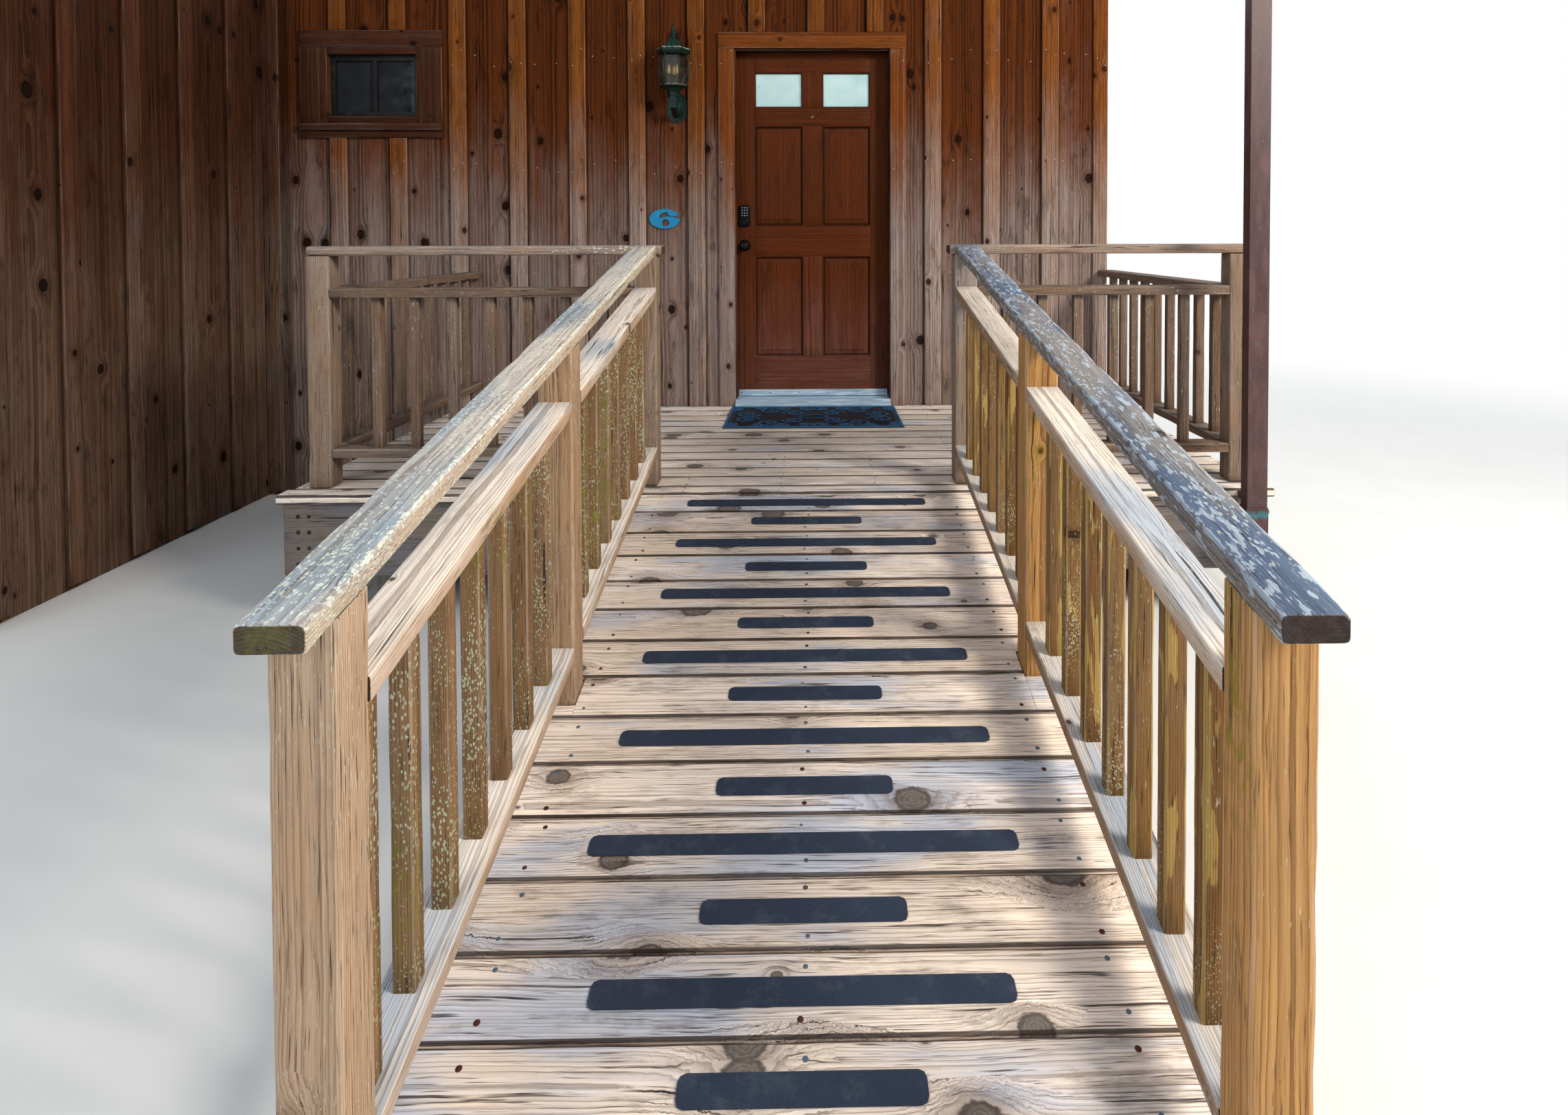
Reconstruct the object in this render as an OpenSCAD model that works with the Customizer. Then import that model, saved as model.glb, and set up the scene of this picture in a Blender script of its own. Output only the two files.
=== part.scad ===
// Timber cabin entrance with an access ramp, in millimetres, +Z up.
// X = 0 is the middle of the ramp. Y = 0 is near the ramp's toe, and +Y runs up to the cabin's front wall.
// Z = 0 is the level floor at the ramp's toe.

/* [Ramp] */
// clear width between the ramp's posts
ramp_clear = 1183; // [1000:1:1400]
// number of planks up the ramp
plank_count = 17; // [15:1:19]
// width of a ramp plank, along the slope
plank_w = 150; // [138:1:162]
// gap between ramp planks
plank_gap = 3.5; // [2:0.5:8]
// thickness of planks, joists, rails and trim boards
board_t = 38; // [34:1:44]
// height of a stringer or joist
joist_h = 184; // [150:1:200]
// width of an anti-slip strip
grip_w = 51; // [40:1:60]
// length of the long anti-slip strips
grip_long = 900; // [800:1:1000]
// length of the long strips on the lowest planks
grip_low = 750; // [700:1:900]
// length of the short anti-slip strips
grip_short = 400; // [300:1:500]

/* [Deck] */
// height of the deck's walking surface
deck_height = 500; // [460:1:560]
// deck edge left of the ramp's middle
deck_left = 2040; // [1900:1:2300]
// deck edge right of the ramp's middle
deck_right = 1833; // [1800:1:2000]
// deck front edge to the front wall
deck_depth = 1734; // [1600:1:2000]
// number of deck boards behind the edge trim
deck_rows = 12; // [10:1:13]
// width of the edge trim board
trim_w = 89; // [80:1:100]
// height of the fascia boards
fascia_h = 286; // [240:1:300]

/* [Guards] */
// side of a square post
post = 89; // [84:1:100]
// guard handrail top above the deck
cap_high = 955; // [900:1:1070]
// ramp handrail top above the ramp at the lowest posts
cap_low = 942; // [900:1:1070]
// top of the sub-rail below the top of the handrail
sub_drop = 166; // [120:1:220]
// top of the bottom rail below the top of the handrail
bottom_drop = 800; // [760:1:820]
// side of a square baluster
baluster = 38; // [30:1:44]
// balusters in each bay of the ramp
ramp_balusters = 7; // [5:1:8]
// gap before the first baluster of the front guards, at the corner posts
corner_gap = 150; // [60:1:180]

/* [Walls] */
// inner corner left of the ramp's middle
wall_left = 3120; // [3060:1:3300]
// wall end right of the ramp's middle
wall_right = 1750; // [1740:1:1790]
// top of the walls above the deck
wall_top = 2440; // [2400:1:2700]
// thickness of the walls
wall_t = 127; // [120:1:140]
// wing wall's length in front of the front wall
wing_len = 1900; // [1700:1:2100]
// width of a batten
batten_w = 98; // [80:1:105]
// thickness of battens and casings
batten_t = 18; // [12:1:22]

/* [Door] */
// middle of the door from the ramp's middle
door_x = 32; // [20:1:45]
// width of the door leaf
leaf_w = 910; // [880:1:930]
// height of the door leaf
leaf_h = 2028; // [1980:1:2060]
// thickness of the door leaf
leaf_t = 44; // [40:1:50]
// width of the door's casing boards
casing_w = 94; // [85:1:105]

/* [Window] */
// middle of the window from the ramp's middle
window_x = -2494; // [-2520:1:-2470]
// width of the window's glass
pane_w = 445; // [420:1:480]
// height of the window's glass
pane_h = 295; // [250:1:330]

/* [Fittings] */
// lantern's middle from the ramp's middle
lantern_x = -750; // [-760:1:-748]
// rainwater pipe's middle from the ramp's middle
pipe_x = 1700; // [1680:1:1730]

/* [Hidden] */
$fn = 24;
// ramp
pitch = plank_w + plank_gap;
top_cut = 26;
ramp_len = plank_count * pitch - top_cut;
ramp_step = 8;
toe_z = board_t + 8.5;
slope = asin((deck_height - ramp_step - toe_z) / ramp_len);
toe_y = -324;
deck_y = toe_y + ramp_len * cos(slope);
plank_back = 8;
notch_gap = 2;
grip_t = 2;
grip_r = 13;
sleeper_w = 140;
sleeper_y = toe_y + 314;
// deck
wall_y = deck_y + deck_depth;
deck_under = deck_height - board_t;
trim_over = 20;
row_gap = 4;
rows_y = deck_y + trim_w;
row_pitch = (wall_y - rows_y) / deck_rows;
fascia_y = deck_y + trim_over;
joist_n = 9;
beam_y = deck_y + 300;
beam_t = 89;
pier = 260;
pier_top = 180;
pier_n = 4;
// posts and rails
rail_x = ramp_clear / 2;
plank_x0 = -rail_x - 76;
plank_x1 = rail_x + 56;
foot_post_y = toe_y + 279;
head_post_y = deck_y + trim_w + 6;
mid_post_y = (foot_post_y + head_post_y) / 2;
mid_left = -57;
mid_right = 35;
block_y = mid_post_y + 20;
left_post_x = -deck_left + 77;
right_post_x = deck_right - 49 - post;
cap_z0 = toe_z + (foot_post_y - toe_y) * tan(slope) + cap_low;
cap_z1 = deck_height + cap_high;
cap_k = (cap_z1 - cap_z0) / (head_post_y - foot_post_y);
bar_v = board_t / cos(atan(cap_k));
cap_end = 64;
cap_lap = 22;
tenon = 6;
seat = 0.1;
lead_low = 33;
lead_high = 130;
left_balusters = 7;
right_balusters = 6;
side_balusters = 9;
beam_in = 120;
pier_in = 320;
// walls
wall_z1 = deck_height + wall_top;
plate_t = 38;
cover = 2;
batten_pitch = 341.5;
left_batten = -688;
middle_batten = 4;
right_batten = 682;
left_battens = 7;
right_battens = 3;
batten_foot = 20;
end_batten_w = 85;
wing_first = 330;
wing_pitch = 355;
wing_battens = 5;
// doorway
door_gap = 5;
stop_w = 15;
jamb_t = 30;
stop_t = 11;
leaf_y = wall_t - leaf_t;
stop_y = leaf_y - door_gap - stop_t;
rebate_x = leaf_w / 2 + door_gap;
clear_x = rebate_x - stop_w;
rough_x = rebate_x + jamb_t;
sill_h = 40;
sill_nose = 55;
mat_w = 940;
mat_d = 550;
mat_t = 8;
mat_gap = 6;
leaf_z = deck_height + sill_h + door_gap;
rebate_z = leaf_z + leaf_h + door_gap;
rough_z = rebate_z + jamb_t;
case_x = clear_x + 5;
case_z = rebate_z - stop_w + 9;
// door leaf
stile = 112;
mullion = 110;
rail_low = 228;
panel_w = (leaf_w - 2 * stile - mullion) / 2;
low_panel_h = 598;
mid_rail = 176;
high_panel_h = 591;
light_rail = 104;
top_rail = 118;
light_z = rail_low + low_panel_h + mid_rail + high_panel_h + light_rail;
light_h = leaf_h - light_z - top_rail;
peep_z = light_z - light_rail / 2;
peep_r = 9;
peep_t = 3;
sunk = 11;
field = 9;
bevel = 38;
knob_in = 55;
knob_x = knob_in - leaf_w / 2;
knob_z = 890;
key_w = 66;
key_h = 126;
key_up = 112;
pin_x = leaf_w / 2 + 2.5;
pin_r = 7;
pin_in_y = door_gap + pin_r;
hinge_h = 100;
knuckle = 30;
run = 0.3;
// window
frame_w = 30;
frame_h = 30;
buck = 42;
win_up = 1860;
win_z = deck_height + win_up;
sash_w = pane_w + 2 * frame_w;
sash_h = pane_h + 2 * frame_h;
hole_w = sash_w + 2 * buck;
hole_h = sash_h + 2 * buck;
win_in = 30;
frame_d = 50;
win_casing_w = 110;
win_x = hole_w / 2 + win_casing_w;
win_sill_t = 40;
win_sill_out = 22;
apron_h = 42;
meeting = 24;
// lantern
lamp_out = 130;
lamp_up = 1778;
lamp_plate_up = 1646;
lamp_y = wall_y - lamp_out;
lamp_z = deck_height + lamp_up;
lamp_plate_z = deck_height + lamp_plate_up;
// house number
number_w = 176;
number_h = 114;
number_t = 12;
number_gap = 19;
number_up = 1091;
number_x = left_batten - batten_pitch + batten_w + number_gap + number_w / 2;
// pipe
pipe_w = 76;
pipe_d = 51;
pipe_out = 95;
pipe_y = deck_y - pipe_out;
pipe_z = 60;
slip_z = deck_height - 40;

function cap_z(y) = cap_z0 + (y - foot_post_y) * cap_k;
function plank_under(y) = toe_z + (y - toe_y) * tan(slope) - board_t / cos(slope);
function side_x(side) = side > 0 ? rail_x : -rail_x - post;
function mid_y(side) = mid_post_y + (side > 0 ? mid_right : mid_left);
function even_gap(len, n) = (len - n * baluster) / (n + 1);

// A solid w wide from x, with its outline given as points in Y and Z.
module profile(x, w) translate([x, 0, 0]) rotate([90, 0, 90]) linear_extrude(w) children();

// A rail that follows the ramp's handrail, drop below its top, with plumb ends.
module ramp_rail(x, w, y0, y1, drop) profile(x, w)
  polygon([[y0, cap_z(y0) - drop - bar_v], [y1, cap_z(y1) - drop - bar_v],
           [y1, cap_z(y1) - drop], [y0, cap_z(y0) - drop]]);

// A square stick beside the ramp from the line z0 below the handrail to the line z1 below it.
module ramp_stick(x, w, y, z0, z1) profile(x, w)
  polygon([[y, cap_z(y) - z0], [y + w, cap_z(y + w) - z0],
           [y + w, cap_z(y + w) - z1], [y, cap_z(y) - z1]]);

module ramp_slope() translate([0, toe_y, toe_z]) rotate([slope, 0, 0]) translate([0, -plank_back, 0])
  children();

module ramp_planks() color("burlywood") difference() {
  ramp_slope() for (i = [0 : plank_count - 1])
    translate([plank_x0, i * pitch + plank_gap / 2, -board_t])
      cube([plank_x1 - plank_x0, plank_w - (i == plank_count - 1 ? top_cut : 0), board_t]);
  for (side = [-1, 1], y = [foot_post_y, mid_y(side)])
    translate([side_x(side) - notch_gap, y - notch_gap, 0])
      cube([post + 2 * notch_gap, post + 2 * notch_gap, deck_height + board_t]);
}

module grip(len) linear_extrude(grip_t) polygon([
  [-len / 2 + grip_r, -grip_w / 2], [len / 2 - grip_r, -grip_w / 2],
  [len / 2 - grip_r * 0.3, -grip_w / 2 + grip_r * 0.3], [len / 2, -grip_w / 2 + grip_r],
  [len / 2, grip_w / 2 - grip_r], [len / 2 - grip_r * 0.3, grip_w / 2 - grip_r * 0.3],
  [len / 2 - grip_r, grip_w / 2], [-len / 2 + grip_r, grip_w / 2],
  [-len / 2 + grip_r * 0.3, grip_w / 2 - grip_r * 0.3], [-len / 2, grip_w / 2 - grip_r],
  [-len / 2, -grip_w / 2 + grip_r], [-len / 2 + grip_r * 0.3, -grip_w / 2 + grip_r * 0.3]]);

// Long and short strips take turns down the ramp, and the lowest long ones are shorter.
function grip_len(k) = k % 2 == 1 ? grip_short : k < 12 ? grip_long : grip_low;
module ramp_grip_strips() color("dimgray") ramp_slope() for (i = [0 : plank_count - 1])
  translate([0, (i + 0.5) * pitch - (i == plank_count - 1 ? top_cut / 2 : 0), 0])
    grip(grip_len(plank_count - 1 - i));

module ramp_stringers() color("peru") {
  y0 = toe_y + 12;
  z0 = plank_under(y0);
  z1 = plank_under(fascia_y);
  h = joist_h / cos(slope);
  for (x = [-rail_x, -board_t / 2, rail_x - board_t])
    profile(x, board_t) polygon([[y0, 0], [y0 + (h - z0) / tan(slope), 0], [fascia_y, z1 - h],
                                 [fascia_y, z1], [y0, z0]]);
}

// A flat board on the ground at the toe, and blocking between the stringers at the middle posts.
module ramp_sleepers() color("peru") for (x = [board_t / 2, board_t - rail_x]) {
  translate([x, sleeper_y, 0]) cube([rail_x - 1.5 * board_t, sleeper_w, board_t]);
  translate([x, block_y, plank_under(mid_post_y) - sleeper_w - 8])
    cube([rail_x - 1.5 * board_t, board_t, sleeper_w]);
}

module ramp_posts(side) color("peru") for (y = [foot_post_y, mid_y(side)])
  profile(side_x(side), post)
    polygon([[y, 0], [y + post, 0], [y + post, cap_z(y + post) - bar_v - seat],
             [y, cap_z(y) - bar_v - seat]]);

module ramp_left_posts() ramp_posts(-1);
module ramp_right_posts() ramp_posts(1);

module ramp_handrail(side) color("tan")
  ramp_rail(side_x(side), post, foot_post_y - cap_end, head_post_y, 0);
module ramp_left_handrail() ramp_handrail(-1);
module ramp_right_handrail() ramp_handrail(1);

// Sub-rail, bottom rail and balusters of the two bays on one side of the ramp.
module ramp_infill(side) color("peru") for (b = [0, 1]) {
  y0 = (b == 0 ? foot_post_y : mid_y(side)) + post;
  y1 = b == 0 ? mid_y(side) : head_post_y;
  lead = side > 0 ? even_gap(y1 - y0, ramp_balusters) : b == 0 ? lead_low : lead_high;
  step = (y1 - y0 - lead) / ramp_balusters;
  ramp_rail(side_x(side), post, y0, y1, sub_drop);
  ramp_rail(side_x(side), post, y0, y1, bottom_drop);
  for (i = [0 : ramp_balusters - 1])
    ramp_stick(side_x(side) + (post - baluster) / 2, baluster, y0 + lead + i * step,
               bottom_drop + tenon, sub_drop + bar_v - tenon);
}
module ramp_left_balusters() ramp_infill(-1);
module ramp_right_balusters() ramp_infill(1);

module deck_boards() color("burlywood") for (i = [0 : deck_rows - 1])
  translate([-deck_left + trim_over, rows_y + i * row_pitch + row_gap, deck_under])
    cube([deck_left + deck_right - 2 * trim_over, row_pitch - row_gap - seat, board_t]);

module deck_edge_trim() color("burlywood")
  translate([-deck_left, deck_y, deck_under]) cube([deck_left + deck_right, trim_w, board_t]);

module deck_fascia() color("tan") translate([0, 0, deck_under - fascia_h]) {
  translate([-deck_left + trim_over, fascia_y, 0])
    cube([deck_left + deck_right - 2 * trim_over, board_t, fascia_h]);
  for (x = [-deck_left + trim_over, deck_right - trim_over - board_t])
    translate([x, fascia_y + board_t, 0]) cube([board_t, wall_y - fascia_y - board_t, fascia_h]);
}

module deck_joists() color("peru") {
  x0 = -deck_left + trim_over + board_t;
  span = deck_left + deck_right - 2 * trim_over - 2 * board_t;
  translate([x0, wall_y - board_t, deck_under - joist_h]) cube([span, board_t, joist_h]);
  for (i = [1 : joist_n])
    translate([x0 + i * span / (joist_n + 1) - board_t / 2, fascia_y + board_t, deck_under - joist_h])
      cube([board_t, wall_y - fascia_y - 2 * board_t, joist_h]);
}

module deck_beam() color("peru") {
  z = pier_top;
  translate([-deck_left + beam_in, beam_y, z])
    cube([deck_left + deck_right - 2 * beam_in, beam_t, deck_under - joist_h - z]);
}

module deck_piers() color("lightgray") for (i = [0 : pier_n - 1])
  translate([-deck_left + pier_in + i * (deck_left + deck_right - 2 * pier_in) / (pier_n - 1),
             beam_y + beam_t / 2, 0])
    linear_extrude(pier_top, scale = 0.7) square(pier, center = true);

module guard_post(x) color("tan") translate([x, head_post_y, deck_height])
  cube([post, post, cap_high - board_t]);
module guard_left_posts() { guard_post(left_post_x); guard_post(side_x(-1)); }
module guard_right_posts() { guard_post(side_x(1)); guard_post(right_post_x); }

module guard_handrail(x0, x1) color("tan") translate([x0, head_post_y, deck_height + cap_high - board_t])
  cube([x1 - x0, post, board_t]);
module guard_left_handrail() guard_handrail(left_post_x, -rail_x + cap_lap);
module guard_right_handrail() guard_handrail(rail_x - cap_lap, right_post_x + post);

// Sub-rail, bottom rail and n balusters from the corner post's side x0 to x1 along the deck's front.
module guard_infill(x0, x1, n) color("tan") {
  way = x1 > x0 ? 1 : -1;
  step = (abs(x1 - x0) - corner_gap) / n;
  z0 = deck_height + cap_high - bottom_drop;
  z1 = deck_height + cap_high - sub_drop;
  for (z = [z0, z1]) translate([min(x0, x1), head_post_y, z - board_t])
    cube([abs(x1 - x0), post, board_t]);
  for (i = [0 : n - 1])
    translate([x0 + way * (corner_gap + i * step + baluster / 2) - baluster / 2,
               head_post_y + (post - baluster) / 2, z0 - tenon])
      cube([baluster, baluster, z1 - board_t - z0 + 2 * tenon]);
}
module guard_left_balusters() guard_infill(left_post_x + post, side_x(-1), left_balusters);
module guard_right_balusters() guard_infill(right_post_x, rail_x + post, right_balusters);

// Side guard from the corner post at x back to the wall, without a handrail above.
module side_guard(x, y1) color("tan") {
  y0 = head_post_y + post;
  step = (y1 - y0 + baluster) / (side_balusters + 1);
  z0 = deck_height + cap_high - bottom_drop;
  z1 = deck_height + cap_high - sub_drop;
  for (z = [z0, z1]) translate([x, y0, z - board_t]) cube([post, y1 - y0, board_t]);
  for (i = [1 : side_balusters])
    translate([x + (post - baluster) / 2, y0 + i * step - baluster, z0 - tenon])
      cube([baluster, baluster, z1 - board_t - z0 + 2 * tenon]);
}
module left_side_guard() side_guard(left_post_x, wall_y - batten_t);
module right_side_guard() side_guard(right_post_x, wall_y - batten_t);

module front_wall_base() color("sienna") translate([-wall_left, wall_y, 0])
  cube([wall_left + wall_right, wall_t, deck_height]);

module front_wall_left() color("sienna") difference() {
  translate([-wall_left, wall_y, deck_height]) cube([wall_left + door_x - rough_x, wall_t, wall_top]);
  translate([window_x - hole_w / 2, wall_y - 1, win_z - hole_h / 2]) cube([hole_w, wall_t + 2, hole_h]);
}

module front_wall_right() color("sienna") translate([door_x + rough_x, wall_y, deck_height])
  cube([wall_right - door_x - rough_x, wall_t, wall_top]);

module front_wall_over_door() color("sienna") translate([door_x - rough_x, wall_y, rough_z])
  cube([2 * rough_x, wall_t, wall_z1 - rough_z]);

module wing_wall() color("saddlebrown") translate([-wall_left - wall_t, wall_y - wing_len, 0])
  cube([wall_t, wing_len + wall_t, wall_z1]);

// A batten w wide from x between two heights on the front wall.
module batten(x, w, z0, z1) translate([x, wall_y - batten_t, z0]) cube([w, batten_t, z1 - z0]);
module wall_battens() color("sienna") {
  for (k = [0 : left_battens - 1]) {
    x = left_batten - k * batten_pitch;
    foot = x + batten_w > -deck_left ? deck_height : batten_foot;
    if (x + batten_w > window_x - win_x && x < window_x + win_x) {
      batten(x, batten_w, win_z + hole_h / 2 + casing_w, wall_z1);
      batten(x, batten_w, foot, win_z - hole_h / 2 - win_sill_t - apron_h);
    }
    else if (x > batten_w - wall_left) batten(x, batten_w, foot, wall_z1);
  }
  for (k = [0 : right_battens - 1]) {
    x = right_batten + k * batten_pitch;
    if (x < wall_right - end_batten_w - batten_w) batten(x, batten_w, deck_height, wall_z1);
  }
  for (k = [-1, 0, 1]) batten(middle_batten + k * batten_pitch, batten_w, case_z + casing_w, wall_z1);
  batten(wall_right - end_batten_w, end_batten_w, deck_height, wall_z1);
  batten(-wall_left, batten_w, batten_foot, wall_z1);
  for (i = [0 : wing_battens - 1])
    translate([-wall_left, wall_y - wing_first - i * wing_pitch, batten_foot])
      cube([batten_t, batten_w, wall_z1 - batten_foot]);
}

module wall_top_plates() color("peru") translate([0, 0, wall_z1]) {
  translate([-wall_left, wall_y, 0]) cube([wall_left + wall_right, wall_t, plate_t]);
  translate([-wall_left - wall_t, wall_y - wing_len, 0]) cube([wall_t, wing_len + wall_t, plate_t]);
}

module door_casing() color("chocolate") translate([door_x, wall_y - batten_t - cover, 0]) {
  t = batten_t + cover;
  for (x = [-case_x - casing_w, case_x])
    translate([x, 0, deck_height]) cube([casing_w, t, case_z - deck_height]);
  translate([-case_x - casing_w, 0, case_z]) cube([2 * (case_x + casing_w), t, casing_w]);
}

module door_jamb() color("chocolate") translate([door_x, wall_y, 0]) {
  for (s = [-1, 1]) {
    translate([s > 0 ? rebate_x : -rough_x, 0, deck_height])
      cube([jamb_t, wall_t, rebate_z - deck_height]);
    translate([s > 0 ? clear_x : -rebate_x, 0, deck_height + sill_h])
      cube([stop_w, stop_y + stop_t, rebate_z - deck_height - sill_h]);
  }
  translate([-rough_x, 0, rebate_z]) cube([2 * rough_x, wall_t, jamb_t]);
  translate([-clear_x, 0, rebate_z - stop_w]) cube([2 * clear_x, stop_y + stop_t, stop_w]);
}

module door_threshold() color("silver") translate([door_x, wall_y, 0]) {
  profile(-rebate_x, 2 * rebate_x)
    polygon([[0, deck_height], [wall_t, deck_height], [wall_t, deck_height + sill_h - 8],
             [stop_y + stop_t + 40, deck_height + sill_h], [0, deck_height + sill_h]]);
  profile(-case_x, 2 * case_x)
    polygon([[-sill_nose, deck_height], [0, deck_height], [0, deck_height + sill_h],
             [-18, deck_height + sill_h], [-sill_nose, deck_height + 12]]);
}

// Outlines of the two lights and the four panels on the leaf, from its bottom middle.
module in_lights() for (s = [-1, 1])
  translate([s * (panel_w + mullion) / 2, light_z + light_h / 2]) children();
module in_panels() for (s = [-1, 1]) {
  translate([s * (panel_w + mullion) / 2, rail_low + low_panel_h / 2]) { $h = low_panel_h; children(); }
  translate([s * (panel_w + mullion) / 2, rail_low + low_panel_h + mid_rail + high_panel_h / 2])
    { $h = high_panel_h; children(); }
}
// The leaf's own plane: X across, Y up, Z out of the front face.
module on_leaf(depth) translate([door_x, wall_y + leaf_y + depth, leaf_z]) rotate([90, 0, 0]) children();

module door_leaf() color("sienna") difference() {
  on_leaf(leaf_t) linear_extrude(leaf_t) translate([-leaf_w / 2, 0]) square([leaf_w, leaf_h]);
  on_leaf(leaf_t + 1) linear_extrude(leaf_t + 2) in_lights() square([panel_w, light_h], center = true);
  for (d = [sunk, leaf_t + 1])
    on_leaf(d) linear_extrude(sunk + 1) in_panels() square([panel_w, $h], center = true);
}

// A slab w by h with its four top edges bevelled down to nothing.
module raised(w, h) intersection() {
  translate([-w / 2, 0, 0]) rotate([90, 0, 90]) linear_extrude(w)
    polygon([[-h / 2, 0], [h / 2, 0], [h / 2 - bevel, field], [bevel - h / 2, field]]);
  translate([0, h / 2, 0]) rotate([90, 0, 0]) linear_extrude(h)
    polygon([[-w / 2, 0], [w / 2, 0], [w / 2 - bevel, field], [bevel - w / 2, field]]);
}
module door_panels() color("sienna") for (back = [0, 1])
  translate([0, back * (2 * (wall_y + leaf_y) + leaf_t), 0]) mirror([0, back, 0])
    on_leaf(sunk - seat) in_panels() raised(panel_w, $h);

module door_glass() color("lightcyan") on_leaf(leaf_t / 2 + 5) linear_extrude(10) in_lights()
  square([panel_w, light_h], center = true);

module door_knobs() color("black") for (back = [0, 1])
  translate([0, back * (2 * (wall_y + leaf_y) + leaf_t), 0]) mirror([0, back, 0])
    on_leaf(-seat) translate([knob_x, knob_z, 0]) rotate_extrude()
      polygon([[0, 0], [33, 0], [33, 5], [28, 9], [14, 11], [13, 30], [20, 36], [26, 43], [28, 51],
               [26, 59], [20, 64], [0, 66]]);

module door_peephole() color("darkgoldenrod") for (back = [0, 1])
  translate([0, back * (2 * (wall_y + leaf_y) + leaf_t), 0]) mirror([0, back, 0])
    on_leaf(-seat) translate([0, peep_z, 0]) rotate_extrude()
      polygon([[0, 0], [peep_r, 0], [peep_r, 1], [peep_r - 2, peep_t], [0, peep_t]]);

module door_keypad() color("black") {
  on_leaf(-seat) translate([knob_x - key_w / 2, knob_z + key_up, 0]) linear_extrude(20)
    polygon([[4, 0], [key_w - 4, 0], [key_w, 4], [key_w, key_h - 14], [key_w - 14, key_h], [14, key_h],
             [0, key_h - 14], [0, 4]]);
  on_leaf(leaf_t + 24 + seat) translate([knob_x - key_w / 2, knob_z + key_up, 0]) linear_extrude(24)
    square([key_w, key_h]);
}

module hinge_spots() for (z = [leaf_z + 180, leaf_z + leaf_h / 2 - hinge_h / 2, leaf_z + leaf_h - 280])
  translate([door_x, wall_y + leaf_y + leaf_t, z]) children();

// The middle knuckle and the plate on the leaf's inner face turn with the door.
module door_hinges() color("darkgoldenrod") hinge_spots() {
  difference() {
    union() {
      translate([pin_x, pin_in_y, knuckle + run]) cylinder(r = pin_r, h = hinge_h - 2 * (knuckle + run));
      translate([pin_x - pin_r, 0, knuckle + run])
        cube([pin_r - 2.5, pin_in_y, hinge_h - 2 * (knuckle + run)]);
    }
    translate([pin_x, pin_in_y, 0]) cylinder(r = pin_r / 2 + run, h = hinge_h);
  }
  translate([pin_x - 66, 0, 0]) cube([62, 3, hinge_h]);
}

// The pin, its outer knuckles and their plate stay on the jamb.
module hinge_plates() color("darkgoldenrod") hinge_spots() {
  translate([pin_x, pin_in_y, 0]) cylinder(r = pin_r / 2, h = hinge_h);
  for (z = [0, hinge_h - knuckle]) {
    translate([pin_x, pin_in_y, z]) cylinder(r = pin_r, h = knuckle);
    translate([pin_x + 2.5, 0, z]) cube([3.5, pin_in_y, knuckle]);
    translate([pin_x + 2.5, 0, z]) cube([27, 3, knuckle]);
  }
}

module door_sweep() color("silver") on_leaf(-seat) linear_extrude(4)
  translate([-clear_x + 6, 0]) square([2 * clear_x - 12, 36]);

// Casing boards, sill and apron, with the wooden lining that holds the window in its hole.
module window_casing() color("chocolate") translate([window_x, wall_y - batten_t - cover, 0]) {
  t = batten_t + cover;
  z0 = win_z - hole_h / 2;
  z1 = win_z + hole_h / 2;
  for (x = [-win_x, hole_w / 2]) translate([x, 0, z0]) cube([win_casing_w, t, hole_h]);
  translate([-win_x, 0, z1]) cube([2 * win_x, t, casing_w]);
  translate([-win_x, -win_sill_out, z0 - win_sill_t]) cube([2 * win_x, t + win_sill_out, win_sill_t]);
  translate([-win_x, 0, z0 - win_sill_t - apron_h]) cube([2 * win_x, t, apron_h]);
  for (x = [-hole_w / 2, hole_w / 2 - buck]) translate([x, 6, z0]) cube([buck, t + win_in + frame_d, hole_h]);
  for (z = [z0, z1 - buck]) translate([-hole_w / 2, 6, z]) cube([hole_w, t + win_in + frame_d, buck]);
}

// Fixed frame of the sliding window with its middle stile.
module window_sash() color("dimgray") translate([window_x, wall_y + win_in, win_z]) difference() {
  translate([-sash_w / 2, 0, -sash_h / 2]) cube([sash_w, frame_d, sash_h]);
  for (x = [-pane_w / 2, meeting / 2]) translate([x, -1, -pane_h / 2])
    cube([(pane_w - meeting) / 2, frame_d + 2, pane_h]);
}

module window_glass() color("lightblue") translate([window_x, wall_y + win_in + 18, win_z])
  for (x = [-pane_w / 2, meeting / 2]) translate([x, 0, -pane_h / 2])
    cube([(pane_w - meeting) / 2, 8, pane_h]);

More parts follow.
